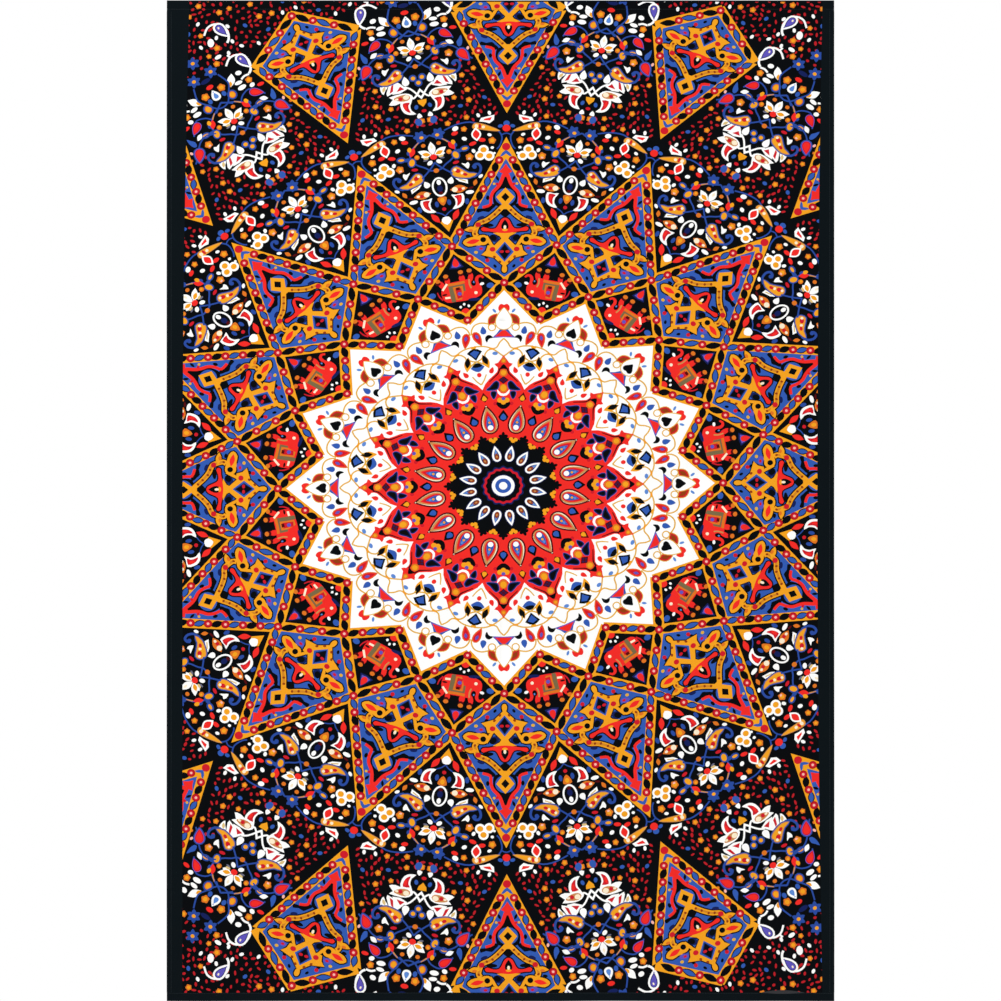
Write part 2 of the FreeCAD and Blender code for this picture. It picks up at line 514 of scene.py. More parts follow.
def star_band(axis, odd, step):
    """The beaded band between the white star and the elephants."""
    for side in (-1, 1):
        a, b = (0, RING_A), (side * VALLEY[0], VALLEY[1])
        if step == 0:
            band_strip(axis, a, b)
        elif step == 1:
            band_lenses(axis, a, b, 3, ("black", "blue"))
        else:
            band_beads(axis, a, b, 3)
    if step == 2:
        bead(odd, 0, VALLEY_RADIUS)


def elephant_cell(odd):
    """Ground of a cell and the small motifs round the elephant."""
    odd.pair("blue", oval(26.6, 199.2, 3.4, 2.7))
    odd.add("red", blob([(-3.8, 177.6), (-2.6, 180.2), (0, 181.4), (2.6, 180.2), (3.8, 177.6), (0, 174.6)]))
    for t, r in ((-3.6, 183.2), (0, 185.4), (3.8, 183)):
        odd.add("white", oval(t, r, 1.2, 1.4))
    odd.add("navy", [(0, 235), (-6.6, 222.4), (0, 221.4), (6.6, 222.4)])
    odd.add("lilac", [(0, 233), (-4.6, 223.6), (0, 222.8), (4.6, 223.6)])
    odd.add("red", drop((0, 223.4), (0, 232.4), 2.9, 14))


def elephant():
    """A walking elephant under a blanket, feet outwards and trunk towards -t."""
    layer = Layer()
    body = [
        (-18, 202), (-18.6, 196), (-16.4, 191.4), (-10, 189.4), (-2, 188.8),
        (7, 189.2), (14, 189.8), (17.6, 194), (18, 201), (15.4, 206.6),
        (10, 208.8), (0, 209), (-8, 209.4), (-12.6, 207.4), (-13.2, 204.6),
    ]
    layer.add("red", blob(body))
    trunk = [(-16.2, 199.4), (-15.2, 205), (-16.6, 209.4), (-19.8, 210.2), (-22, 207.8)]
    layer.add("red", ribbon(trunk, 3.8, 1.8))
    for t, r, half_t, half_r, turn in (
        (-10.6, 210.6, 2.4, 4.6, -20), (-2.8, 211, 2.8, 4, 0),
        (10.6, 210.6, 2.4, 4, -10), (16.4, 208.2, 2.6, 4.4, 25),
    ):
        layer.add("red", oval(t, r, half_t, half_r, turn))
    for t, r in ((-10.6, 217.6), (-2.6, 217.6), (11.2, 216), (19.2, 212.4)):
        layer.ovals(("maroon", t, r - 2.4, 2.4, 1.8), ("orange", t, r, 2.4, 2))
    layer.add("black", oval(-12.2, 204.6, 2.2, 3))
    layer.add("tan", ribbon([(-9.4, 200), (-8.4, 204), (-9, 209)], 1.4))
    layer.add("navy", oval(-10, 188.4, 5.6, 1.6, -8))
    layer.add("orange", ribbon([(-4.6, 207.4), (3, 206.8), (11, 207.2)], 2.4))
    layer.add("olive", [(-4.2, 205.6), (10.8, 205.6), (10.4, 189.6), (6.6, 189.2), (6.4, 197), (-4, 198.4)])
    layer.add("orange", [(-2, 204), (7, 204), (6, 190.8), (1, 190.4), (-2, 198)])
    layer.add("crimson", [(-0.4, 201.8), (5.2, 201.8), (4.6, 191.8), (0, 192.6)])
    layer.add("maroon", [(0.8, 203), (4.6, 203), (4.2, 200.4), (1, 200.4)])
    layer.add("lilac", oval(2, 196.4, 1.9))
    layer.add("cream", ribbon([(11.4, 208.4), (16.6, 202.6)], 2))
    layer.add("cream", ribbon([(10.8, 194.4), (15.6, 194.8)], 2))
    layer.add("black", oval(15.4, 198, 2.4, 0.9))
    layer.add("crimson", ribbon([(17.6, 193), (20.4, 197), (21.4, 201.6)], 1.8, 0.9))
    layer.ovals(
        ("white", -19.6, 202.2, 2.1, 1.4, 10), ("cream", -12.6, 194.6, 1.6),
        ("sky", -12.6, 205.4, 0.8, 1),
    )
    return layer


def kite_frame(layer, step):
    """Beaded bands round a kite, from its wide end at RING_A to its long tip."""
    for side in (-1, 1):
        corner = (side * KITE_SIDE[0], KITE_SIDE[1])
        if step == 0:
            band_strip(layer, (0, RING_A), corner)
            t, r = corner
            far = (0, KITE_TIP + 1)
            layer.add("amber", [(t + side * 5, r + 2), far, (0, KITE_TIP - 22), (t - side * 6.4, r + 2.6)])
        elif step == 1:
            band_lenses(layer, (0, RING_A), corner, 3, ("black", "blue"))
            kite_long_lenses(layer, corner, side)
        else:
            band_beads(layer, (0, RING_A), corner, 3)
            for i in range(1, KITE_BEADS + 1):
                bead(layer, *kite_bead_place(corner, side, i))
    if step == 2:
        layer.add("crimson", oval(0, KITE_TIP - 8.6, 3.8, sides=14))


def kite_bead_place(corner, side, index):
    """Beads on a kite's long edge, from its side corner (0) to its tip."""
    share = index / KITE_BEADS
    end = (side * KITE_TIP_BEADS_END[0], KITE_TIP_BEADS_END[1])
    return tuple(a + (b - a) * share for a, b in zip(corner, end))


def kite_long_lenses(layer, corner, side):
    """Lenses between the beads of a kite's long edge."""
    for i in range(KITE_BEADS):
        a = kite_bead_place(corner, side, i)
        b = kite_bead_place(corner, side, i + 1)
        slanted_lens(layer, a, b, "blue" if i % 2 == 0 else "black")


def halo(layer, first):
    """A dark edge under every amber and red shape drawn since the first."""
    edges = [
        ("black", grown(points, 1.2))
        for ink, points in layer.shapes[first:]
        if ink in ("amber", "red")
    ]
    layer.shapes[first:first] = edges


def kite_inside(layer):
    """Lattice, bird and arches inside a kite."""
    s, r = KITE_SIDE
    ground = [(0, RING_A + 5.6), (s - 5.4, r + 1), (s - 7.4, r + 8), (0, KITE_TIP - 20)]
    layer.add("blue", whole(ground))
    halo_from = len(layer.shapes)
    # the lower lattice and its diamond
    layer.oval_pairs(
        ("black", 8.6, 219.6, 1.3, 2, 35), ("black", 16.4, 228, 1.2, 2.4, 50),
        ("crimson", 15.6, 225.4, 2),
    )
    layer.add("amber", drop((0, 212.8), (0, 223), 2.5, 12))
    layer.add("amber", [(0, 218.4), (12, 230.6), (12.6, 237), (0, 250.4), (-12.6, 237), (-12, 230.6)])
    layer.pair("amber", [(8, 227.4), (21.2, 231), (17, 235), (15.6, 240.4), (10, 241)])
    layer.add("blue", [(0, 223.8), (8.4, 233.6), (0, 244), (-8.4, 233.6)])
    layer.add("navy", [(0, 225.4), (6, 233.6), (0, 242.2), (-6, 233.6)])
    layer.add("black", [(0, 226.2), (4.6, 233.4), (0, 241), (-4.6, 233.4)])
    layer.oval_pairs(("crimson", 2.6, 234, 2, 1.4), ("crimson", 11, 236.4, 2.7, 2.4))
    for t, r in ((9.2, 228.8), (4.2, 223.8)):
        layer.pair("brown", oval(t, r, 1.2, 1.5, 45))
    layer.oval_pairs(
        ("lilac", 22.2, 237.6, 4.6, 2.6, -10), ("crimson", 21.4, 237.2, 1.8, 1.2),
        ("ochre", 26, 233.6, 1.8, 1.5),
    )
    # loops with red leaves
    layer.pair("amber", oval(19.8, 245.8, 5.4, 5.2))
    wing = blob([(19, 250.6), (26, 249.6), (34.6, 247.4), (38, 243), (33, 239.4), (27, 240.4), (20, 241.2)])
    layer.pair("amber", wing)
    layer.pair("amber", [(9.6, 239), (14, 241.2), (18.4, 249.4), (15.8, 250.2), (12.4, 244.4)])
    layer.pair("red", leaf((22.6, 245.6), (35, 243), 2.3))
    layer.oval_pairs(
        ("black", 19.6, 246.2, 2.7), ("navy", 9.4, 247.4, 4.6, 3.6, -35),
        ("black", 10.6, 248, 3.6, 2.8, -35), ("black", 33.4, 250.2, 2.4, 1.4, 10),
    )
    # side frame up to the crossing
    side = [
        (25.6, 249.6), (27.4, 253), (25.6, 259.6), (23.6, 262.6), (17, 265.4), (10.4, 270.4),
        (4.6, 276.4), (-1.4, 282.6),
    ]
    layer.pair("amber", ribbon(side, 4.9, 4.6))
    layer.pair("bronze", ribbon(side[1:-1], 2.2))
    layer.pair("amber", leaf((24.6, 257.4), (37, 256), 2.6))
    layer.oval_pairs(("crimson", 24.4, 261.2, 2.7, 2.5), ("orange", 31, 255.4, 2.2, 1.5))
    for t, r in ((27.2, 252), (19.6, 264.4), (14.4, 266.4), (9.4, 271.2), (5.2, 275.4)):
        layer.pair("brown", oval(t, r, 1.1, 1.4, 40))
    # bird
    layer.add("amber", [
        (-11, 252.8), (0, 253.6), (11, 252.8), (4.6, 249.4), (2.4, 245.6), (-2.4, 245.6), (-4.6, 249.4),
    ])
    layer.pair("black", oval(15.4, 260.6, 5.2, 1.9, -4))
    bird = [
        (0, 252.4), (8, 253.2), (15, 254.4), (20, 254.6), (21.6, 257), (19.4, 258.8), (14, 257),
        (8.6, 257.4), (5.8, 261.6), (3.6, 266), (0, 268),
    ]
    layer.add("red", blob(whole(bird)))
    layer.add("black", drop((0, 255.4), (0, 266), 3.5, 12))
    layer.ovals(("amber", 0, 255.8, 2.6, 1.4), ("cream", 0, 258.4, 1.3, 2))
    layer.add("black", [(0, 267.6), (4.6, 271.6), (0, 277), (-4.6, 271.6)])
    # black waves under the arch
    wave = [
        (25, 273), (20, 274.6), (15, 273.6), (12, 276.4), (8.6, 280), (12, 282), (20, 277.4), (25.6, 277),
    ]
    layer.pair("black", blob(wave))
    layer.pair("navy", oval(22, 268, 3.4, 1.6, 20))
    halo(layer, halo_from)
    # crossing, frame and arches
    arch = [
        (0, 310), (3.4, 303), (7.6, 298), (10.8, 293), (11.2, 287), (10.2, 281.6), (6.4, 279.4),
        (3, 281.4),
    ]
    layer.add("black", blob(arch + [(-t, r) for t, r in arch[-1:0:-1]]))
    layer.add("blue", oval(0, 288.8, 9.4, 8.4))
    layer.add("amber", [
        (0, 298), (8.4, 288.6), (3, 281.4), (5.4, 276.4), (-5.4, 276.4), (-3, 281.4), (-8.4, 288.6),
    ])
    layer.add("black", [(0, 292.8), (3.8, 288.5), (0, 284.2), (-3.8, 288.5)])
    red_arch = [
        (20.6, 278.4), (13.6, 281), (13.2, 287.4), (11.4, 293.4), (7.6, 297.8), (4.6, 302.6), (1.8, 311),
    ]
    layer.pair("red", ribbon(red_arch, 2.6, 3.4))
    arrow = [(0, 322), (2.4, 318), (6.2, 314), (2.8, 312), (2.4, 308.6)]
    layer.add("red", arrow + [(-t, r) for t, r in arrow[::-1]])
    layer.pair("black", oval(16, 288, 1.6, 2.4))
    layer.pair("black", leaf((6.2, 304.4), (8.8, 310.2), 1.3))
    layer.oval_pairs(("crimson", 7.8, 301.6, 1.4), ("ochre", 10.4, 301.8, 1.3))
    layer.add("blue", blob([
        (-5.4, 329.6), (0, 335.8), (5.4, 329.6), (2.6, 329.8), (0, 332), (-2.6, 329.8),
    ]))
    layer.add("amber", [(0, 331.4), (3.2, 326.4), (0, 323.8), (-3.2, 326.4)])
    layer.add("blue", [(0, 327), (2.6, 321.6), (-2.6, 321.6)])


def moved_kite(shapes):
    """A kite turned over, for the outer ring."""
    return [
        (
            ink,
            [
                (t, OUTER_KITE_VERTEX - OUTER_KITE_LENGTH_SHARE * (r - RING_A))
                for t, r in points
            ],
        )
        for ink, points in shapes
    ]


def flower(layer, t, r, radius, turn=0):
    """A small amber flower of five petals."""
    points = []
    for i in range(20):
        a = 2 * math.pi * i / 20 + math.radians(turn)
        reach = radius * (1 + 0.12 * math.cos(5 * a))
        points.append((t + reach * math.cos(a), r + reach * math.sin(a)))
    layer.pair("orange", points)
    layer.pair("amber", oval(t, r, radius * 0.6))


def blossom(t, r, radius, wave):
    """A six-petalled outline; wave is how far its petals stand out."""
    points = []
    for i in range(24):
        a = 2 * math.pi * i / 24
        reach = radius + wave * math.cos(6 * a)
        points.append((t + reach * math.cos(a), r + reach * math.sin(a)))
    return points


def lotus(odd, base):
    """A white lotus above base, with its beads, buds and ring of vines."""
    ring = [
        (0, base - 13), (5.2, base - 12.4), (9, base - 9), (16.4, base - 4.2),
        (20.4, base + 2.6), (19.6, base + 8.6), (13.4, base + 15.2), (6, base + 19.2), (0, base + 22.8),
    ]
    odd.pair("vine", ribbon(ring, 1.5))
    odd.pair("vine", ribbon([(0, base - 5), (3.4, base - 9.4), (8.8, base - 14.6), (14, base - 19)], 1.5))
    odd.nest_pair(oval(20, base - 1.4, 2.6, 3.6, -20), ("vine", 1.3), ("amber", 0))
    odd.pair("red", leaf((15.6, base + 13), (20.2, base + 4.4), 2.6))
    odd.pair("tan", ribbon([(15.4, base + 13), (10.6, base + 17.4)], 1.4, 0.8))
    odd.oval_pairs(("amber", 20, base + 11.6, 1.9, 2.6, -15), ("vine", 21.8, base + 8.4, 1.3, 2))
    odd.nest_pair(oval(29, base + 3.2, 3, 1.6, -5), ("vine", 1.4), ("amber", -0.2))
    odd.pair("vine", leaf((20.4, base + 3), (27, base + 1.2), 1.8))
    centre = leaf((0, base + 2.4), (0, base + 16), 3.4)
    odd.pair("white", leaf((0.6, base + 2), (12.8, base + 8.6), 3))
    odd.pair("white", leaf((2.4, base + 2.8), (11, base + 2.6), 2.4))
    odd.pair("amber", leaf((2.2, base + 3), (9.6, base + 5.2), 1.9))
    odd.oval_pairs(("sand", 6.8, base + 0.2, 2.4, 1.2, -6), ("grey", 7.6, base - 1.6, 2.2, 0.9, 6))
    odd.add("white", centre)
    odd.add("cream", leaf((0, base + 8.6), (0, base + 13), 1.2))
    odd.add("red", oval(0, base + 0.6, 3.2, 2.8))
    odd.oval_pairs(
        ("white", 4.2, base - 4.8, 2.8, 2, 35), ("orange", 7, base + 13.4, 2.1, 1.9),
        ("orange", 14.6, base + 3, 2.4, 2.4), ("amber", 14.6, base + 3.4, 1.3, 1.3),
    )
    odd.add("orange", oval(0, base - 13.4, 2.5, 2.3))
    flower(odd, 31.8, base - 6, 3.5)
    odd.oval_pairs(("pink", 31.4, base - 7.6, 1.4, 1), ("crimson", 18.8, base - 8.8, 3, 1.5, -8))
    star = blob([
        (23.4, base - 10.6), (27, base - 12), (29.4, base - 10.8), (30.4, base - 13.6),
        (28.4, base - 17.4), (26, base - 14.4),
    ])
    odd.pair("white", star)


def paisley(odd, base):
    """An amber paisley with red spots and a blue hook."""
    body = [
        (13.4, base + 2.2), (14.4, base + 6.4), (18.4, base + 8.2), (23, base + 4.2),
        (28.4, base - 0.4), (35, base - 2.2), (28.4, base - 4.6), (20.6, base - 3), (15.4, base - 0.8),
    ]
    shape = blob(body)
    hook = [
        (32, base - 4.8), (37.4, base - 2.4), (39.8, base + 2.8), (38.4, base + 6.8), (35, base + 7),
        (33, base + 4.6),
    ]
    odd.pair("vine", ribbon(hook, 2.2, 2.6))
    odd.pair("vine", oval(34.4, base + 4.8, 2))
    odd.nest_pair(shape, ("vine", 1.5), ("tan", 0.4), ("amber", -0.4))
    odd.oval_pairs(
        ("crimson", 18.8, base + 4, 2.6, 2.1, 30), ("cream", 16.6, base + 5.6, 1.4),
        ("cream", 22.2, base + 1.2, 1.3, 1.5, 30), ("crimson", 24.8, base - 0.8, 2.2, 1.5, 25),
    )


def feather(odd, base):
    """A red crescent feather in a white rim, tip towards the middle."""
    rim = [
        (8.6, base + 14.2), (13, base + 13.4), (19.4, base + 13.4), (19.6, base + 7), (17.4, base + 2.4),
        (13, base), (7.4, base - 0.2), (10.8, base + 3.8), (11.2, base + 9),
    ]
    core = [
        (11.2, base + 12.2), (17.4, base + 12.4), (17.2, base + 7.2), (15.2, base + 3.8), (12, base + 2),
        (13, base + 6.2), (12.8, base + 9.6),
    ]
    odd.pair("white", blob(rim))
    odd.pair("crimson", blob(core))
    odd.pair("red", oval(15.6, base + 8.4, 1.4, 3))


def inner_ground(odd):
    """Everything on the black ground between two inner kites."""
    odd.add("amber", [(0, 259.4), (5.8, 269.6), (3.4, 272.4), (-3.4, 272.4), (-5.8, 269.6)])
    odd.add("white", blob([(0, 266.6), (4.2, 270.4), (2.6, 274.4), (-2.6, 274.4), (-4.2, 270.4)]))
    odd.pair("red", leaf((12.6, 280), (6, 269.8), 2.7))
    odd.pair("vine", ribbon([(0, 275.4), (3.2, 278.4), (7.6, 280.6)], 1.1))
    odd.add("crimson", oval(0, 282.6, 1.9, 1.8))
    odd.add("orange", blob([(0, 286), (3, 289.6), (4.2, 294), (0, 295.4), (-4.2, 294), (-3, 289.6)]))
    odd.add("amber", oval(0, 291.6, 2, 2.4))
    odd.oval_pairs(("vine", 5.6, 288.4, 1.8, 3), ("vine", 21.6, 286, 1.9, 3, 10))
    feather(odd, 281.2)
    odd.pair("orange", leaf((8.6, 300.4), (24.6, 299.2), 4))
    odd.oval_pairs(
        ("cream", 12.8, 299.8, 2.7, 2.6), ("crimson", 17.4, 299, 1.9, 1.8),
        ("cream", 20.6, 299.4, 1.6, 1.3), ("maroon", 27.4, 298.6, 2.6, 1, -10),
    )
    odd.pair("white", [
        (15.6, 310.4), (18.4, 307), (22, 305.2), (25.6, 303.2), (26, 307.2), (22.6, 308.6), (18.6, 310.6),
        (16.8, 312.4),
    ])
    odd.pair("sand", [(18, 309), (24, 305.4), (24.4, 306.6), (19, 309.8)])
    paisley(odd, 313.6)
    odd.nest(oval(0, 305.2, 7, 9.8, sides=28), ("white", 0), ("black", -1.7))
    odd.ovals(("white", 0, 309.8, 2, 2.7), ("navy", 0, 303.4, 2.6, 3.2), ("maroon", 0, 299, 2, 1.6))
    odd.pair("white", drop((9.8, 306.4), (12.4, 313), 2.9, 12))
    odd.oval_pairs(("white", 25.6, 294.6, 3.9, 1.9, 4), ("white", 38.2, 308.2, 2.4, 1.5, -30))
    odd.pair("orange", leaf((30.6, 300), (33.8, 306), 1.9))
    lotus(odd, 335.2)
    for t, r, a, b, turn in (
        (24.2, 359.6, 3, 2.3, -20), (30.4, 348, 2.5, 1.9, 30),
        (53.4, 347.2, 2.1, 1.5, 30), (53.6, 334, 1.6, 1.4, 0),
        (54.6, 328.2, 1.2, 1.2, 0), (36.4, 334.2, 1.7, 2.2, -20),
    ):
        odd.pair("white", oval(t, r, a, b, turn))
    for t, r, a, b, turn in (
        (22.8, 355, 3.2, 2, -12), (37, 341.6, 3.5, 1.9, -12), (45.8, 343.6, 3.4, 2, 16),
    ):
        odd.pair("red", oval(t, r, a, b, turn))
    flower(odd, 31.8, 357.6, 2.7)
    flower(odd, 54.8, 341, 3.3)
    odd.pair("vine", blossom(8.4, 358, 5.2, 1.1))
    odd.pair("amber", oval(7.2, 356.8, 1.9, 1.6))
    odd.pair("vine", ribbon([(14, 360), (26, 363.4), (38, 363.4), (48, 358.6)], 1.4))
    odd.pair("vine", ribbon([(52, 356), (61, 350.6), (64.2, 343), (61, 335), (57.4, 331.8)], 1.4))
    beak = blob([
        (39.6, 358.2), (42, 361.2), (47, 360.2), (55, 355.6), (63.6, 349), (54, 351.4), (46, 354.4),
        (41, 355.6),
    ])
    odd.nest_pair(beak, ("tan", 0.3), ("amber", -0.4))
    odd.oval_pairs(
        ("cream", 43.4, 358.2, 1.7, 2), ("crimson", 46.4, 357.4, 1.2, 2.6, 10),
        ("cream", 49.4, 356, 1.6, 1.5),
    )
    outer, inner = (41.2, 343.2), (42.2, 357)
    odd.pair("white", leaf(outer, inner, 4.6))
    odd.pair("red", leaf(*along(outer, inner, [(0.16, 0), (0.84, 0)]), 3.1))
    tail = [(46.6, 362.2), (49, 365.4), (61.4, 366), (60, 361), (55.4, 358.4), (51.6, 360.6)]
    odd.pair("white", tail)
    odd.pair("red", [(50.4, 362.6), (52, 363.8), (58.8, 364.2), (56.6, 361.2)])
    berries = ((45.4, 333.6), (41.4, 328.6), (49.4, 326.4))
    for t, r in berries:
        odd.pair("white", oval(t, r, 4.8, sides=16))
    for t, r in berries:
        odd.pair("amber", oval(t, r, 2.9, 2.7))


def kite_tip_buds(axis):
    """The red bud in blue leaves beyond each inner kite's tip."""
    axis.add("vine", ribbon([(-5, 350.4), (0, 352.4), (5, 350.4)], 1.2))
    axis.add("blue", oval(0, 362.2, 3, 2.8))
    axis.pair("blue", oval(5.6, 359.6, 2.4, 1.7, 15))
    axis.add("red", oval(0, 357.4, 3.7, 3.5))


def curled_drop(odd, further_out):
    """A white-edged drop with a blue heart, its tail curled round like a 9."""
    tail = [(37, 474.8), (40.4, 477.4), (43.4, 484), (42.6, 491.4), (37.4, 497), (30, 497.4), (23.6, 492.6)]
    odd.pair("white", ribbon([(t, r + further_out) for t, r in tail], 2.2, 1.8))
    head = drop((37.6, 496 + further_out), (41.4, 480 + further_out), 4.6, 16)
    odd.nest_pair(head, ("white", 0.8), ("navy", -1), ("lilac", -1.7))
    odd.pair("cream", oval(38.4, 491.6 + further_out, 0.9, 1.3, 15))


def outer_ground(odd):
    """Everything on the black ground between two outer kites."""
    odd.pair("blue", oval(6.8, 372.6, 3.2, 3.8, 20))
    odd.pair("white", blob([(2.4, 377.4), (4.6, 381.4), (7, 379), (6.6, 376.4)]))
    odd.add("crimson", oval(0, 383, 2.3, 1.6))
    odd.add("amber", [(0, 387), (3.6, 391), (4.2, 394.4), (-4.2, 394.4), (-3.6, 391)])
    odd.pair("blue", oval(6.2, 387.8, 1.8, 2.4, -20))
    feather(odd, 381.4)
    fish = blob([
        (7, 397.6), (10, 402.2), (17, 403.8), (28.4, 402.4), (25.4, 399.6), (29.8, 395), (24, 393.6),
        (18, 395), (12, 393.8),
    ])
    odd.pair("white", fish)
    odd.pair("tan", blob([(9.6, 399), (13.6, 402.4), (22, 401.4), (24.6, 399.4), (19, 396.2), (12.4, 396)]))
    odd.oval_pairs(
        ("cream", 13.4, 399.4, 2.8, 2.4), ("crimson", 18.6, 398.8, 2, 2), ("cream", 22, 399, 1.6, 1.1),
    )
    odd.nest([(0, 406), (4.4, 400.2), (0, 394.8), (-4.4, 400.2)], ("white", 0))
    odd.add("black", [(0, 402.8), (2, 400.2), (0, 398), (-2, 400.2)])
    odd.pair("white", ribbon([(3, 400), (5, 403), (8.4, 407), (13, 410)], 1.7))
    odd.pair("white", ribbon([(3.6, 399.6), (7, 397), (9.6, 399)], 1.7))
    odd.pair("white", [(11, 407.4), (16.6, 414.2), (20, 417), (21.4, 411), (25, 404.6), (18, 404.4)])
    odd.pair("crimson", [(13.4, 407.8), (16.8, 411.2), (20.8, 406.4)])
    odd.pair("white", [(19.6, 417), (22.4, 406.6), (29.6, 403.8), (30, 406.6), (26, 415.4), (22.4, 416.4)])
    odd.pair("crimson", [(22.2, 414.6), (23.8, 407.8), (27.2, 406), (24.6, 413)])
    odd.pair("white", blob([
        (27.4, 413.6), (31, 416.2), (34.4, 414.6), (34.4, 409), (32.6, 406.2), (30.6, 409.6),
    ]))
    odd.pair("sand", leaf((30, 413.8), (33, 408.4), 1.4))
    odd.pair("white", drop((11.2, 410.6), (11.4, 420), 3.3, 14))
    for t, r in ((-4.2, 417), (4.2, 417), (0, 411.4)):
        odd.add("vine", oval(t, r, 3.6, 3.6))
    for t, r in ((-4, 416.8), (4, 416.8), (0, 411.6)):
        odd.add("amber", oval(t, r, 2.1, 2))
    paisley(odd, 419.4)
    lotus(odd, 441.6)
    odd.pair("vine", ribbon([
        (20, 441), (28, 444.4), (36, 442), (42, 436.6), (46.4, 431), (52, 425.6),
    ], 1.4))
    bud = drop((41, 436.8), (48.4, 425.2), 4.3, 16)
    odd.nest_pair(bud, ("vine", 1.4), ("lilac", 0.5), ("crimson", -0.2), ("red", -1.2))
    odd.pair("vine", ribbon([(16, 455), (20, 459.4), (28, 461.8), (34, 457), (38.4, 449.6)], 1.4))
    bud = drop((27.6, 459), (37.6, 451.4), 3.6, 16)
    odd.nest_pair(bud, ("lilac", 0.6), ("crimson", 0), ("red", -1))
    odd.pair("blue", blob([
        (41.4, 440.2), (40.6, 444.6), (43, 447.6), (45.8, 451), (46, 445), (44.2, 440.6),
    ]))
    odd.pair("white", leaf((31.2, 448.6), (38, 444.2), 2.2))
    odd.oval_pairs(
        ("pink", 49.6, 436.8, 1.3, 1.8, 20), ("red", 40, 460, 3.4, 1.8, 8),
        ("orange", 53.4, 430.6, 1.4, 1.5),
    )
    odd.nest_pair(oval(13, 465.6, 3.2, 3.6), ("vine", 1.5), ("orange", 0), ("amber", -0.9))
    for t, r, a, b, turn in (
        (24.2, 466.6, 4.2, 2.3, 0), (24, 472.2, 3.8, 1.9, 8), (33.2, 463.6, 2.6, 2.1, -20),
        (29.2, 480.6, 3, 2.3, 20),
    ):
        odd.pair("white", oval(t, r, a, b, turn))
    flower(odd, 33.4, 469.6, 3.1)
    odd.pair("white", leaf((23.6, 483.6), (16, 472.6), 3.6))
    odd.pair("amber", leaf((18.6, 477.6), (15.6, 472.8), 1.7))
    odd.nest(drop((0, 468), (0, 479.6), 4.2, 18), ("white", 0), ("sky", -2))
    flower(odd, 8.6, 477.2, 3.6)
    odd.pair("blue", oval(7.4, 470.8, 2.1, 2.7))
    odd.add("red", oval(0, 483.2, 3.6, 2.2))
    odd.pair("vine", ribbon([(0, 459.4), (6, 461.4), (12, 470), (16.4, 478), (13, 490)], 1.5))
    odd.pair("vine", ribbon([(0, 464.8), (4.4, 461.6), (9, 458)], 1.5))
    curled_drop(odd, 0)
    odd.pair("white", ribbon([(28, 473.6), (32, 475), (36.6, 474.2)], 1.9))
    odd.pair("white", ribbon([(31.4, 497.6), (30.4, 501.4)], 1.9))
    for t, r in ((-9, 496), (9, 496), (0, 512)):
        odd.add("vine", blossom(t, r, 5.4, 1.3))
        odd.add("amber", oval(t, r, 1.9, 1.7))
    odd.add("navy", oval(0, 490.4, 5, 2.2))
    curled_drop(odd, 37)
    odd.oval_pairs(("white", 24.6, 520, 3, 4.2, 30), ("white", 22.6, 504.4, 3.4, 1.9))
    flower(odd, 26.6, 512.6, 3)


FLECK_SEED = 11
FLECK_RINGS = ((366, 432), (496, 566))
FLECK_FROM_AXIS = 2.4
FLECK_FROM_KITE = 9
# The bouquet of the outer ring keeps its ground clear of flecks.
BOUQUET_RING = (378, 432)
BOUQUET_NECK = 393
NECK_REACH, BOUQUET_REACH = 22, 35
FLOWER_ATTEMPTS = 260
FLOWER_ROOM = 9.5
PETAL_ATTEMPTS = 1300
PETAL_ROOM = 4.5


def near_outer_kite(radius, angle):
    """True on an outer kite or close to its edge; angle is from the odd direction."""
    off_axis = SECTOR_ANGLE / 2 - angle
    t, r = radius * math.sin(off_axis), radius * math.cos(off_axis)
    tip = OUTER_KITE_VERTEX - OUTER_KITE_LENGTH_SHARE * (KITE_TIP - RING_A)
    corner = OUTER_KITE_VERTEX - OUTER_KITE_LENGTH_SHARE * (KITE_SIDE[1] - RING_A)
    if r < corner:
        half = KITE_SIDE[0] * (r - tip) / (corner - tip)
    else:
        half = KITE_SIDE[0] * (OUTER_KITE_VERTEX - r) / (OUTER_KITE_VERTEX - corner)
    return abs(t) < half + FLECK_FROM_KITE


def fleck_place(places, room):
    """A free place on the black ground of the outer ring, or None; room is the space round it."""
    angle = random.uniform(-SECTOR_ANGLE / 2, SECTOR_ANGLE / 2)
    radius = random.choice([random.uniform(*ring) for ring in FLECK_RINGS])
    t, r = abs(radius * math.sin(angle)), radius * math.cos(angle)
    reach = NECK_REACH if radius < BOUQUET_NECK else BOUQUET_REACH
    taken = near_outer_kite(radius, abs(angle))
    taken = taken or BOUQUET_RING[0] < radius < BOUQUET_RING[1] and t < reach
    taken = taken or t < FLECK_FROM_AXIS
    taken = taken or any(math.hypot(t - a, r - b) < room for a, b in places)
    return None if taken else (t, r)


def flecks(odd):
    """Small flowers, then loose petals, sprinkled over the black ground of the outer ring."""
    random.seed(FLECK_SEED)
    places = []
    for attempt in range(FLOWER_ATTEMPTS):
        place = fleck_place(places, FLOWER_ROOM)
        if place:
            places.append(place)
            turn = random.uniform(0, 180)
            kind = random.random()
            if kind < 0.55:
                flower(odd, *place, random.uniform(2.3, 2.9), turn)
            elif kind < 0.85:
                odd.pair("white", oval(*place, 1.6, 2.3, turn, 8))
            else:
                odd.pair("blue", oval(*place, 1.8, 2.4, turn, 8))
    for attempt in range(PETAL_ATTEMPTS):
        place = fleck_place(places, PETAL_ROOM)
        if place:
            places.append(place)
            half_width = random.uniform(1, 1.4)
            half_length = random.uniform(1.6, 2.5)
            odd.pair("fleck", oval(*place, half_width, half_length, random.uniform(0, 180), 7))


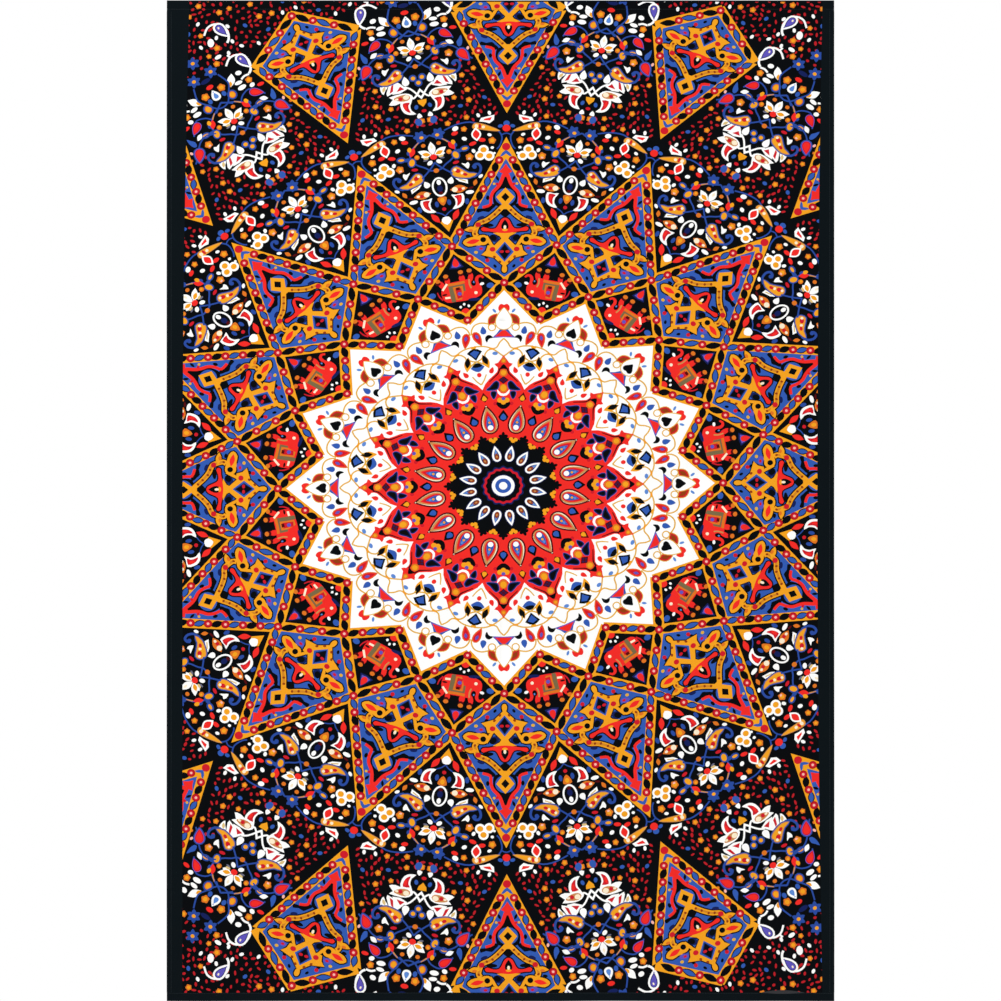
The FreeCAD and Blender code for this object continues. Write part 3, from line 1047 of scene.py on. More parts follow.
def elephant_faces_back(sector):
    """Elephants walk towards the top and the bottom of the cloth."""
    angle = (sector + 0.5) * SECTOR_ANGLE
    return math.sin(2 * angle) < 0


def turned(shapes, angle, flip=False):
    """Sector shapes turned to their place round the middle."""
    c, s = math.cos(angle), math.sin(angle)
    side = -1 if flip else 1
    return [
        (ink, [(side * t * c + r * s, r * c - side * t * s) for t, r in points])
        for ink, points in shapes
    ]


def grounds(axis, odd):
    """All that lies on the black ground between the kites."""
    flecks(odd)
    inner_ground(odd)
    outer_ground(odd)
    kite_tip_buds(axis)


def corner_beads(axis, odd):
    """The beads where bands meet."""
    bead(axis, 0, RING_A)
    bead(odd, 0, RING_B)
    bead(axis, 0, OUTER_KITE_VERTEX)


def painted(*makers):
    """The shapes that makers draw, as (on the axis, on the odd direction)."""
    axis, odd = Layer(), Layer()
    for maker in makers:
        maker(axis, odd)
    return axis.shapes, odd.shapes


def both_kites(maker, *arguments):
    """What a maker draws for a kite, on an inner and on an outer kite."""
    layer = Layer()
    maker(layer, *arguments)
    return layer.shapes + moved_kite(layer.shapes), []


def elephants(sector, angle):
    """The elephants' cell of one sector, turned to an angle, and the elephant in it."""
    t, r = CELL_SIDE
    cell = Layer()
    cell.add("black", [(0, VALLEY_RADIUS), (t, r), (0, RING_B), (-t, r)])
    elephant_cell(cell)
    walker = turned(elephant().shapes, angle, elephant_faces_back(sector))
    return turned(cell.shapes, angle) + walker


def mandala():
    """All shapes of the print in order, about the middle of the mandala."""

    def band(step):
        return lambda axis, odd: star_band(axis, odd, step)

    passes = [
        painted(grounds),
        painted(white_star_ground),
        painted(band(0)),
        both_kites(kite_frame, 0),
        both_kites(kite_frame, 1),
        painted(band(1)),
        both_kites(kite_inside),
        both_kites(kite_frame, 2),
        painted(band(2), corner_beads),
        painted(white_star_lines, white_star_fruit),
        painted(red_star),
        painted(rosette_ground),
        painted(red_star_fruit, rosette_fringe),
    ]
    elephants_pass = 1
    shapes = []
    for number, (axis_shapes, odd_shapes) in enumerate(passes):
        for sector in range(SECTORS):
            angle = sector * SECTOR_ANGLE
            odd_angle = angle + SECTOR_ANGLE / 2
            shapes += turned(axis_shapes, angle)
            shapes += turned(odd_shapes, odd_angle)
            if number == elephants_pass:
                shapes += elephants(sector, odd_angle)
    for sector in range(SECTORS):
        filled = sector % (SECTORS // 2) != 0
        shapes += turned(white_star_spade(filled).shapes, sector * SECTOR_ANGLE)
    return shapes + rosette_centre().shapes


# How the printed cloth differs from a true circle: it is stretched across, bowed
# sideways, a little tilted, and longer below the middle than above it.
PRINT_STRETCH_ACROSS = 1.0957
PRINT_MIDDLE = (-0.5, 14.7)
PRINT_SHIFT = 3.2
PRINT_SHIFT_REACH = 140.0
PRINT_BOW = 6.0
PRINT_HALF_HEIGHT = 484.0
PRINT_TILT = 0.0141
PRINT_DROP = 0.00011


def on_cloth(x, y):
    """Where a point of the true design lies on the cloth, from the cloth's middle."""
    across = PRINT_MIDDLE[0] + PRINT_STRETCH_ACROSS * x
    across += PRINT_SHIFT * math.exp(-((x / PRINT_SHIFT_REACH) ** 2))
    across += PRINT_BOW * (y / PRINT_HALF_HEIGHT) ** 2
    up = y if y > 0 else y * (1 - PRINT_DROP * y)
    return across, PRINT_MIDDLE[1] + up + PRINT_TILT * x


# --- How the cloth hangs --------------------------------------------------------

RIPPLES = (
    # across (turns over the width), lean, phase, height in metres
    (2.3, 0.35, 0.4, 0.0012),
    (4.1, -0.25, 1.9, 0.0009),
    (7.4, 0.50, 4.0, 0.0005),
)
BILLOW = 0.0011
BILLOW_TURNS = 1.6
BILLOW_PHASE = 0.8
CALM_LENGTH = 0.25


def hang(x, z):
    """How far the hanging cloth stands back from the flat, at one place."""
    below = max(0.0, HINGE_HEIGHT - z)
    looseness = below / (below + CALM_LENGTH)
    depth = 0.0
    for across, lean, phase, height in RIPPLES:
        turns = across * x / WIDTH + lean * z / LENGTH
        depth += height * math.sin(2 * math.pi * turns + phase)
    depth += BILLOW * math.sin(2 * math.pi * z / LENGTH * BILLOW_TURNS + BILLOW_PHASE)
    return looseness * depth


def cloth_point(x, z, behind):
    """A point of the hanging cloth; behind is its distance from the printed face."""
    return Vector((x, FRONT + behind + hang(x, z), z))


# --- Meshes ---------------------------------------------------------------------


def make_object(name, vertices, faces, material, flat=None):
    """A mesh object. Its cloth UVs are metres over the flat cloth."""
    mesh = bpy.data.meshes.new(name)
    mesh.from_pydata(vertices, [], faces)
    mesh.materials.append(material)
    layer = mesh.uv_layers.new(name="cloth")
    flat = flat or [(v[0], v[2]) for v in vertices]
    corners = [0.0] * (2 * len(mesh.loops))
    for i, loop in enumerate(mesh.loops):
        corners[2 * i], corners[2 * i + 1] = flat[loop.vertex_index]
    layer.data.foreach_set("uv", corners)
    mesh.polygons.foreach_set("use_smooth", [True] * len(mesh.polygons))
    mesh.update()
    obj = bpy.data.objects.new(name, mesh)
    bpy.context.scene.collection.objects.link(obj)
    return obj


def colour_faces(obj, inks):
    """Store one ink for each face."""
    mesh = obj.data
    attribute = mesh.color_attributes.new("ink", "FLOAT_COLOR", "CORNER")
    values = []
    for polygon, ink in zip(mesh.polygons, inks):
        values.extend(LINEAR_INKS[ink] * polygon.loop_total)
    attribute.data.foreach_set("color", values)


def swept(name, profile, start, end, step, place, material):
    """A strip: a profile carried along a line. place(point, along) gives its vertices."""
    count = max(1, math.ceil(abs(end - start) / step))
    vertices, faces, flat = [], [], []
    reach = [0.0]
    for a, b in zip(profile, profile[1:]):
        reach.append(reach[-1] + math.dist(a, b))
    for i in range(count + 1):
        along_line = start + (end - start) * i / count
        for point, distance in zip(profile, reach):
            vertices.append(place(point, along_line))
            flat.append((along_line, distance))
    rows = len(profile)
    for i in range(count):
        for j in range(rows - 1):
            a = i * rows + j
            faces.append((a, a + rows, a + rows + 1, a + 1))
    return make_object(name, vertices, faces, material, flat)


STITCH_LENGTH = 0.003
THREAD_RADIUS = 0.00028
THREAD_FLATNESS = 0.6
STITCH_SIDES = 6
# Rings of one stitch, as (share of its length, share of its radius).
STITCH_RINGS = ((-0.5, 0.35), (-0.36, 1.0), (0.36, 1.0), (0.5, 0.35))


def stitch_row(name, centres, direction, material, length=STITCH_LENGTH):
    """Thread stitches: short rounded bars that follow a seam."""
    vertices, faces = [], []
    sides = STITCH_SIDES
    direction = Vector(direction).normalized()
    out = Vector((0, 1, 0))
    side = direction.cross(out).normalized()
    for centre in centres:
        first = len(vertices)
        for share, width in STITCH_RINGS:
            middle = Vector(centre) + direction * (share * length)
            for k in range(sides):
                a = 2 * math.pi * k / sides
                sideways = side * (THREAD_RADIUS * width * math.cos(a))
                outwards = out * (THREAD_FLATNESS * THREAD_RADIUS * width * math.sin(a))
                vertices.append(middle + sideways + outwards)
        last_ring = len(STITCH_RINGS) - 1
        for ring in range(last_ring):
            for k in range(sides):
                a = first + ring * sides + k
                b = first + ring * sides + (k + 1) % sides
                faces.append((a, b, b + sides, a + sides))
        faces.append(tuple(first + k for k in range(sides))[::-1])
        faces.append(tuple(first + last_ring * sides + k for k in range(sides)))
    return make_object(name, vertices, faces, material)


# --- The print as a mesh ----------------------------------------------------------

TILES_ACROSS = 8
TILES_UP = 12
GRID_STEP = 6.5
GRID_OFFSET = 0.21
# Points move by up to this much, so that no two edges lie exactly on each other.
JITTER = 0.02
JITTER_SEED = 5
SAME_PLACE = 1e-5
WELD_DISTANCE = 1e-6
# The printed field inside the plain border: its edges, and how they lean and bow.
FIELD_TOP = 498.2
FIELD_BOTTOM = -491.5
FIELD_LEFT, FIELD_LEFT_LEAN = -317.6, 7.0
FIELD_RIGHT, FIELD_RIGHT_BOW = 316.6, 5.0
FIELD_STEPS = 24
FRONT_TOP = (FOLD_CENTRE - MIDDLE) / UNIT


def field_left(v):
    """Left edge of the printed field, in print units, at a height."""
    return FIELD_LEFT + FIELD_LEFT_LEAN * max(0.0, v / HALF_LENGTH_UNITS) ** 2


def field_right(v):
    """Right edge of the printed field, in print units, at a height."""
    return FIELD_RIGHT + FIELD_RIGHT_BOW * (v / HALF_LENGTH_UNITS) ** 2


def field_outline():
    """The printed field's outline."""
    height = FIELD_TOP - FIELD_BOTTOM
    heights = [FIELD_BOTTOM + height * i / FIELD_STEPS for i in range(FIELD_STEPS + 1)]
    left = [(field_left(v), v) for v in heights]
    right = [(field_right(v), v) for v in heights]
    return left + right[::-1]


def clipped(points, axis, limit, keep_below):
    """The part of an outline on one side of a line across it."""
    result = []
    for i, b in enumerate(points):
        a = points[i - 1]
        a_in = (a[axis] <= limit) == keep_below
        b_in = (b[axis] <= limit) == keep_below
        if a_in != b_in:
            share = (limit - a[axis]) / (b[axis] - a[axis])
            result.append((a[0] + (b[0] - a[0]) * share, a[1] + (b[1] - a[1]) * share))
        if b_in:
            result.append(b)
    return result


def inside(points, us, vs):
    """Which places lie inside an outline, by its winding number."""
    winding = np.zeros(len(us), int)
    for i, (bu, bv) in enumerate(points):
        au, av = points[i - 1]
        side = (bu - au) * (vs - av) - (us - au) * (bv - av)
        winding += (av <= vs) & (bv > vs) & (side > 0)
        winding -= (av > vs) & (bv <= vs) & (side < 0)
    return winding != 0


def tile_grid(left, right, low, high):
    """Points round the rim of a tile, and points inside it, so that it follows the ripples of the hanging
    cloth.
    """
    across = round((right - left) / GRID_STEP)
    up = round((high - low) / GRID_STEP)
    us = [left + (right - left) * i / across for i in range(across + 1)]
    vs = [low + (high - low) * i / up for i in range(up + 1)]
    rim = [(u, low) for u in us[:-1]] + [(right, v) for v in vs[:-1]]
    rim += [(u, high) for u in us[:0:-1]] + [(left, v) for v in vs[:0:-1]]
    middle = [(u + GRID_OFFSET, v - GRID_OFFSET) for u in us[1:-1] for v in vs[1:-1]]
    return rim, middle


def tile_parts(shapes, left, right, low, high):
    """The parts of the shapes that lie in one tile."""
    parts = []
    sides = ((0, left, False), (0, right, True), (1, low, False), (1, high, True))
    for ink, points, box in shapes:
        if box[0] > right or box[1] < left or box[2] > high or box[3] < low:
            continue
        for axis, limit, keep_below in sides:
            points = clipped(points, axis, limit, keep_below)
            if len(points) < 3:
                break
        if len(points) >= 3:
            parts.append((ink, points))
    return parts


def triangle_inks(parts, us, vs):
    """The ink at each triangle's middle: that of the last part over it."""
    inks = np.full(len(us), "border", object)
    for ink, points in parts:
        edge = np.array(points)
        low_corner, high_corner = edge.min(axis=0), edge.max(axis=0)
        near = (us > low_corner[0]) & (us < high_corner[0])
        near &= (vs > low_corner[1]) & (vs < high_corner[1])
        near = np.nonzero(near)[0]
        inks[near[inside(points, us[near], vs[near])]] = ink
    for i, (u, v) in enumerate(zip(us, vs)):
        if not (field_left(v) < u < field_right(v) and FIELD_BOTTOM < v < FIELD_TOP):
            inks[i] = "border"
    return list(inks)


def triangulated_tile(shapes, left, right, low, high):
    """Triangles of one tile as (vertices, triangles, inks)."""
    rim, middle = tile_grid(left, right, low, high)
    vertices = [Vector(p) for p in rim + middle]
    edges = [(k, (k + 1) % len(rim)) for k in range(len(rim))]
    parts = tile_parts(shapes, left, right, low, high)
    for ink, points in parts:
        first = len(vertices)
        count = len(points)
        vertices += [Vector(p) for p in points]
        edges += [(first + k, first + (k + 1) % count) for k in range(count)]
    made = delaunay_2d_cdt(vertices, edges, [], 0, SAME_PLACE, False)
    vertices, triangles = made[0], made[2]
    corners = np.array(vertices)[np.array(triangles)]
    us, vs = corners.mean(axis=1).T
    return vertices, triangles, triangle_inks(parts, us, vs)


def placed_on_cloth(points, jitter):
    """An outline of the design where it lies on the cloth."""
    return [
        (u + jitter.uniform(-JITTER, JITTER), v + jitter.uniform(-JITTER, JITTER))
        for u, v in (on_cloth(x, y) for x, y in points)
    ]


def print_mesh(shapes):
    """The whole print as (points in print units, triangles, inks)."""
    jitter = random.Random(JITTER_SEED)
    placed = [("black", field_outline())]
    placed += [(ink, placed_on_cloth(points, jitter)) for ink, points in shapes]
    boxed = []
    for ink, points in placed:
        us = [p[0] for p in points]
        vs = [p[1] for p in points]
        boxed.append((ink, points, (min(us), max(us), min(vs), max(vs))))
    vertices, triangles, inks = [], [], []
    height = FRONT_TOP + HALF_LENGTH_UNITS
    for j in range(TILES_UP):
        low = -HALF_LENGTH_UNITS + height * j / TILES_UP
        high = -HALF_LENGTH_UNITS + height * (j + 1) / TILES_UP
        for i in range(TILES_ACROSS):
            left = -HALF_WIDTH_UNITS + 2 * HALF_WIDTH_UNITS * i / TILES_ACROSS
            right = -HALF_WIDTH_UNITS + 2 * HALF_WIDTH_UNITS * (i + 1) / TILES_ACROSS
            tile = triangulated_tile(boxed, left, right, low, high)
            first = len(vertices)
            vertices += tile[0]
            triangles += [[first + k for k in triangle] for triangle in tile[1]]
            inks += tile[2]
    return vertices, triangles, inks


def print_piece(name, shapes, behind, low, high, material):
    """The print laid on the hanging cloth, behind its printed face by a distance."""
    points, triangles, inks = print_mesh(shapes)
    places, flat = [], []
    for u, v in points:
        x = u * UNIT
        z = MIDDLE + v * UNIT
        z = min(max(z, low), high)
        places.append(cloth_point(x, z, behind))
        flat.append((x, z))
    faces, kept = [], []
    for triangle, ink in zip(triangles, inks):
        is_level_line = len({round(flat[i][1], 6) for i in triangle}) == 1
        if not is_level_line:
            faces.append(triangle if behind == 0 else triangle[::-1])
            kept.append(ink)
    obj = make_object(name, places, faces, material, flat)
    colour_faces(obj, kept)
    welded = bmesh.new()
    welded.from_mesh(obj.data)
    bmesh.ops.remove_doubles(welded, verts=welded.verts, dist=WELD_DISTANCE)
    welded.to_mesh(obj.data)
    welded.free()
    return obj


# --- Materials --------------------------------------------------------------------


class Nodes:
    """Short calls for building a node tree."""

    def __init__(self, name):
        self.material = bpy.data.materials.new(name)
        self.material.use_nodes = True
        self.tree = self.material.node_tree
        self.shader = self.tree.nodes["Principled BSDF"]

    def node(self, kind, **settings):
        made = self.tree.nodes.new(kind)
        for key, value in settings.items():
            setattr(made, key, value)
        return made

    def link(self, source, target):
        self.tree.links.new(source, target)

    def socket(self, socket, value):
        """Set an input to a number or colour, or link it to another node's output."""
        if hasattr(value, "is_linked"):
            self.link(value, socket)
        else:
            socket.default_value = value

    def cloth_place(self):
        """The place on the flat cloth, in metres."""
        node = self.node("ShaderNodeUVMap", uv_map="cloth")
        return node.outputs["UV"]

    def noise(self, scale, detail=3.0):
        node = self.node("ShaderNodeTexNoise")
        self.link(self.cloth_place(), node.inputs["Vector"])
        node.inputs["Scale"].default_value = scale
        node.inputs["Detail"].default_value = detail
        return node.outputs["Fac"]

    def math(self, operation, a, b=0.0):
        node = self.node("ShaderNodeMath", operation=operation)
        self.socket(node.inputs[0], a)
        self.socket(node.inputs[1], b)
        return node.outputs[0]

    def span(self, value, low, high):
        """A 0 to 1 value stretched to a range."""
        node = self.node("ShaderNodeMapRange")
        self.link(value, node.inputs["Value"])
        node.inputs["To Min"].default_value = low
        node.inputs["To Max"].default_value = high
        return node.outputs["Result"]

    def weave(self, pitch):
        """Plain weave: warp and weft threads crossing, 0 to 1."""
        split = self.node("ShaderNodeSeparateXYZ")
        self.link(self.cloth_place(), split.inputs[0])
        turns = 2 * math.pi / pitch
        across = self.math("SINE", self.math("MULTIPLY", split.outputs[0], turns))
        up = self.math("SINE", self.math("MULTIPLY", split.outputs[1], turns))
        return self.math("MULTIPLY_ADD", self.math("MULTIPLY", across, up), 0.5)

    def bump(self, height, strength, distance):
        node = self.node("ShaderNodeBump")
        self.link(height, node.inputs["Height"])
        node.inputs["Strength"].default_value = strength
        node.inputs["Distance"].default_value = distance
        self.link(node.outputs["Normal"], self.shader.inputs["Normal"])

    def mixed(self, kind, factor, a, b):
        node = self.node("ShaderNodeMix", data_type="RGBA", blend_type=kind)
        for key, value in (("Factor", factor), ("A", a), ("B", b)):
            sockets = [s for s in node.inputs if s.name == key and s.enabled]
            self.socket(sockets[0], value)
        return [s for s in node.outputs if s.enabled][0]


# Colours in linear light, pitches and bump depths in metres.
THREAD_PITCH = 0.0007
RIB_PITCH = 0.0005
BUMP_DEPTH = 0.0001
RIB_DEPTH = 0.00008
FUZZ_SHARE = 0.006
FUZZ_COLOUR = (0.75, 0.8, 0.85, 1.0)
UNPRINTED_COLOUR = (0.115, 0.11, 0.12, 1.0)
REVERSE_GHOST = 0.30
THREAD_COLOURS = ((0.010, 0.016, 0.020, 1.0), (0.030, 0.042, 0.050, 1.0))
RIBBON_COLOURS = ((0.80, 0.79, 0.76, 1.0), (0.90, 0.89, 0.87, 1.0))
FLOOR_COLOURS = ((0.80, 0.80, 0.79, 1.0), (0.84, 0.84, 0.83, 1.0))


def cotton(name, tint=None, ghost=0.0, sheen=0.02):
    """Printed cotton, with painted shade in the weave's hollows. Without a tint its colour is the ink
    stored on each face.
    """
    n = Nodes(name)
    if tint is None:
        ink = n.node("ShaderNodeAttribute", attribute_name="ink").outputs["Color"]
    else:
        ink = n.node("ShaderNodeRGB")
        ink.outputs[0].default_value = tint
        ink = ink.outputs[0]
    weave = n.weave(THREAD_PITCH)
    blotches = n.span(n.noise(9.0), 0.93, 1.05)
    specks = n.span(n.noise(900.0, 2.0), 0.93, 1.06)
    # Random blotches and specks of tone.
    mottle_and_weave_shade = n.math("MULTIPLY", blotches, specks)
    # Painted shade: the colour is darker where the weave is low, in the hollows between the threads.
    mottle_and_weave_shade = n.math("MULTIPLY", mottle_and_weave_shade, n.span(weave, 0.95, 1.03))
    grey = n.node("ShaderNodeCombineColor")
    for socket in grey.inputs[:3]:
        n.link(mottle_and_weave_shade, socket)
    colour = n.mixed("MULTIPLY", 1.0, ink, grey.outputs[0])
    fibre = n.math("MULTIPLY", n.span(n.noise(2200.0, 1.0), -0.5, 1.0), FUZZ_SHARE)
    fibre = n.math("MAXIMUM", fibre, 0.0)
    colour = n.mixed("MIX", fibre, colour, FUZZ_COLOUR)
    if ghost:
        colour = n.mixed("MIX", ghost, colour, UNPRINTED_COLOUR)
    n.link(colour, n.shader.inputs["Base Color"])
    n.link(n.span(n.noise(40.0), 0.80, 0.95), n.shader.inputs["Roughness"])
    n.shader.inputs["Specular IOR Level"].default_value = 0.02
    n.shader.inputs["Sheen Weight"].default_value = sheen
    n.shader.inputs["Sheen Roughness"].default_value = 0.5
    height = n.math("ADD", weave, n.math("MULTIPLY", n.noise(26.0, 4.0), 3.0))
    n.bump(height, 0.35, BUMP_DEPTH)
    return n.material


def thread_material():
    """Dark cotton sewing thread with a twist."""
    n = Nodes("sewing thread")
    twist = n.noise(1500.0, 2.0)
    colour = n.mixed("MIX", twist, *THREAD_COLOURS)
    n.link(colour, n.shader.inputs["Base Color"])
    n.link(n.span(twist, 0.55, 0.8), n.shader.inputs["Roughness"])
    n.shader.inputs["Specular IOR Level"].default_value = 0.3
    n.bump(twist, 0.5, BUMP_DEPTH)
    return n.material


def ribbon_material():
    """White satin label tape, with no lettering."""
    n = Nodes("label ribbon")
    ribs = n.weave(RIB_PITCH)
    mottle = n.noise(120.0, 3.0)
    colour = n.mixed("MIX", mottle, *RIBBON_COLOURS)
    n.link(colour, n.shader.inputs["Base Color"])
    n.link(n.span(mottle, 0.38, 0.55), n.shader.inputs["Roughness"])
    n.shader.inputs["Sheen Weight"].default_value = 0.1
    n.bump(ribs, 0.4, RIB_DEPTH)
    return n.material


def floor_material():
    """A plain pale floor."""
    n = Nodes("pale floor")
    mottle = n.noise(2.0, 2.0)
    colour = n.mixed("MIX", mottle, *FLOOR_COLOURS)
    n.link(colour, n.shader.inputs["Base Color"])
    n.shader.inputs["Roughness"].default_value = 0.8
    return n.material


# --- Sewn parts ---------------------------------------------------------------------

SEAM_STEP = 0.012
STITCH_PITCH = 0.004
FACE_GAP = 0.0001
# Folded edges are soft: each bulges a little, and its corners are eased off.
EDGE_BULGE = 0.0003
EDGE_EASE = 0.0002
CREST_RISE = 0.0001
INNER_EASE = 0.0015
INNER_STEP = 0.0004
SLEEVE_EASE = 0.0008
SLEEVE_ARC_STEPS = 12


def sleeve_piece(material):
    """The cloth that turns back over the rod and down behind, with its turned edge."""
    profile = []
    for i in range(SLEEVE_ARC_STEPS + 1):
        a = math.pi * i / SLEEVE_ARC_STEPS
        profile.append((-FOLD_RADIUS * math.cos(a), FOLD_CENTRE + FOLD_RADIUS * math.sin(a)))
    profile.append((BACK_HIGH[1], BACK_LOW[2] + 0.001))
    profile.append((BACK_HIGH[1] - 0.0006, BACK_LOW[2] - SLEEVE_EASE))
    profile.append((TURNING_HIGH[1] + SLEEVE_EASE, TAPER_LOW[2] + SLEEVE_EASE))
    profile.append((TURNING_HIGH[1], TAPER_LOW[2] - SLEEVE_EASE))
    profile.append((TURNING_HIGH[1], TURNING_LOW[2] + INNER_STEP))
    profile.append((TURNING_HIGH[1] - INNER_STEP, TURNING_LOW[2]))
    profile.append((TURNING_LOW[1] + FACE_GAP, TURNING_LOW[2]))

    def place(point, x):
        return Vector((x, point[0], point[1]))

    return swept("rod_sleeve_cloth", profile, -HALF_WIDTH, HALF_WIDTH, SEAM_STEP, place, material)


def hem_profile(edge, outward, depth, crest):
    """A hem turned to the back, as (place across it, distance behind the printed face)."""
    inner = edge - outward * depth
    return [
        (edge, 0.0),
        (edge + outward * EDGE_BULGE, 0.3 * TURNED_DEPTH),
        (edge + outward * EDGE_BULGE, 0.75 * TURNED_DEPTH),
        (edge - outward * EDGE_EASE, TURNED_DEPTH),
        (edge - outward * crest * depth, TURNED_DEPTH + CREST_RISE),
        (inner + outward * INNER_EASE, TURNED_DEPTH - CREST_RISE),
        (inner, TURNED_DEPTH - INNER_STEP),
        (inner, PLY + FACE_GAP),
    ]


def side_hem_piece(name, side, material):
    """A side hem: the cloth's edge turned to the back and turned under."""
    profile = hem_profile(side * HALF_WIDTH, side, SIDE_HEM, 0.3)
    if side > 0:
        profile = profile[::-1]

    def place(point, z):
        return cloth_point(point[0], z, point[1])

    return swept(name, profile, BOTTOM + BOTTOM_HEM, SIDE_HEM_HIGH[2], SEAM_STEP, place, material)


def bottom_hem_piece(material):
    """The bottom hem, turned to the back and turned under."""
    profile = hem_profile(BOTTOM, -1, BOTTOM_HEM, 0.5)[::-1]

    def place(point, x):
        return cloth_point(x, point[0], point[1])

    return swept("bottom_hem_cloth", profile, -HALF_WIDTH, HALF_WIDTH, SEAM_STEP, place, material)


LABEL_COLUMNS, LABEL_ROWS = 8, 20
LABEL_TAPE = 0.00035
LABEL_LIFT = 0.0002
LABEL_CURL = 0.0011
LABEL_CURL_FROM = 0.25
LABEL_RIPPLE = 0.0002


def label_piece(material):
    """The blank care label, sewn along its top, its free end curling a little."""
    columns, rows = LABEL_COLUMNS, LABEL_ROWS
    vertices, faces, flat = [], [], []
    for i in range(rows + 1):
        share = i / rows
        z = LABEL_HIGH[2] + (LABEL_LOW[2] - LABEL_HIGH[2]) * share
        curl = LABEL_CURL * max(0.0, share - LABEL_CURL_FROM) ** 2
        for j in range(columns + 1):
            x = LABEL_LOW[0] + (LABEL_HIGH[0] - LABEL_LOW[0]) * j / columns
            ripple = LABEL_RIPPLE * math.sin(math.pi * j / columns) * share
            behind = LABEL_HIGH[1] - FRONT - LABEL_LIFT + curl + ripple
            vertices.append(cloth_point(x, z, behind))
            flat.append((x, z))
    for i in range(rows):
        for j in range(columns):
            a = i * (columns + 1) + j
            faces.append((a, a + columns + 1, a + columns + 2, a + 1)[::-1])
    obj = make_object("care_label_tape", vertices, faces, material, flat)
    thicken(obj, LABEL_TAPE)
    return obj


def thicken(obj, thickness):
    """Give a sheet a thickness, towards the cloth."""
    modifier = obj.modifiers.new("thickness", "SOLIDIFY")
    modifier.thickness = thickness
    modifier.offset = -1.0
    depsgraph = bpy.context.evaluated_depsgraph_get()
    mesh = bpy.data.meshes.new_from_object(obj.evaluated_get(depsgraph))
    obj.modifiers.clear()
    obj.data = mesh


def seam_centres(start, end, place):
    """Stitch centres from start to end of a seam."""
    count = int(abs(end - start) / STITCH_PITCH)
    return [place(start + (end - start) * (i + 0.5) / count) for i in range(count)]


def middle_of(node, axis):
    """The middle of a CAD node's box along one axis."""
    low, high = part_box(node)
    return (low[axis] + high[axis]) / 2


# --- Put together -------------------------------------------------------------------

print_cotton = cotton("printed cotton")
reverse_cotton = cotton("printed cotton reverse", ghost=REVERSE_GHOST)
border_cotton = cotton("border cotton", tint=LINEAR_INKS["border"], sheen=0.04)
thread = thread_material()
label_tape = ribbon_material()

design = mandala()


SHOWS_THROUGH_FROM = 9.0


def is_large(points):
    """True for shapes that show through to the back of the cloth."""
    us = [p[0] for p in points]
    vs = [p[1] for p in points]
    return max(max(us) - min(us), max(vs) - min(vs)) > SHOWS_THROUGH_FROM


through = [(ink, points) for ink, points in design if is_large(points)]

front = print_piece("printed_front", design, 0.0, BOTTOM, FOLD_CENTRE, print_cotton)
reverse = print_piece("cloth_reverse", through, PLY, BOTTOM, TURNING_LOW[2], reverse_cotton)
sleeve = sleeve_piece(border_cotton)
left_hem = side_hem_piece("left_hem_cloth", -1, border_cotton)
right_hem = side_hem_piece("right_hem_cloth", 1, border_cotton)
bottom_hem = bottom_hem_piece(border_cotton)
label = label_piece(label_tape)

SEAM_INSET = 0.004
LABEL_SEAM_INSET = 0.002
BACKTACK_STITCHES = 9
BACKTACK_SLANT = 0.12


def level_seam(name, height):
    """A seam across the cloth, on both faces."""
    centres = []
    low, high = -HALF_WIDTH + SEAM_INSET, HALF_WIDTH - SEAM_INSET
    for offset in (-FACE_GAP, TURNED_DEPTH + FACE_GAP):
        centres += seam_centres(low, high, lambda x: cloth_point(x, height, offset))
    return stitch_row(name, centres, (1, 0, 0), thread)


def upright_seam(name, x):
    """A seam down the cloth, on both faces."""
    centres = []
    low, high = BOTTOM + BOTTOM_HEM, SIDE_HEM_HIGH[2]
    for offset in (-FACE_GAP, TURNED_DEPTH + FACE_GAP):
        centres += seam_centres(low, high, lambda z: cloth_point(x, z, offset))
    return stitch_row(name, centres, (0, 0, 1), thread)


def label_seam_row(name, height):
    """The seam across the top of the label."""
    low, high = LABEL_LOW[0] + LABEL_SEAM_INSET, LABEL_HIGH[0] - LABEL_SEAM_INSET
    behind = LABEL_HIGH[1] - FRONT
    centres = seam_centres(low, high, lambda x: cloth_point(x, height, behind))
    return stitch_row(name, centres, (1, 0, 0), thread)


def backtack(name, node):
    """Close zigzag stitches that lock one end of the sleeve's seam."""
    low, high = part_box(node)
    x = (low[0] + high[0]) / 2
    centres = []
    for i in range(BACKTACK_STITCHES):
        z = low[2] + (high[2] - low[2]) * (i + 0.5) / BACKTACK_STITCHES
        centres.append(Vector((x, high[1], z)))
        centres.append(Vector((x, FRONT - FACE_GAP, z)))
    return stitch_row(name, centres, (1, 0, BACKTACK_SLANT), thread, length=high[0] - low[0])


left_seam_place = middle_of("left_hem_stitching", 0)
top_seam = level_seam("sleeve_seam_thread", middle_of("top_hem_stitching", 2))
bottom_seam = level_seam("bottom_seam_thread", middle_of("bottom_hem_stitching", 2))
left_seam = upright_seam("left_seam_thread", left_seam_place)
right_seam = upright_seam("right_seam_thread", -left_seam_place)
left_tack = backtack("left_backtack_thread", "left_backtack")
right_tack = backtack("right_backtack_thread", "right_backtack")
label_seam = label_seam_row("label_seam_thread", middle_of("care_label_stitching", 2))

# --- What rides on what -------------------------------------------------------------

for piece in (front, reverse, left_hem, right_hem, left_seam, right_seam):
    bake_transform(piece)
for piece in (sleeve, top_seam, left_tack, right_tack):
    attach(piece, "rod_sleeve")
for piece in (bottom_hem, bottom_seam, label, label_seam):
    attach(piece, "hanging_panel")

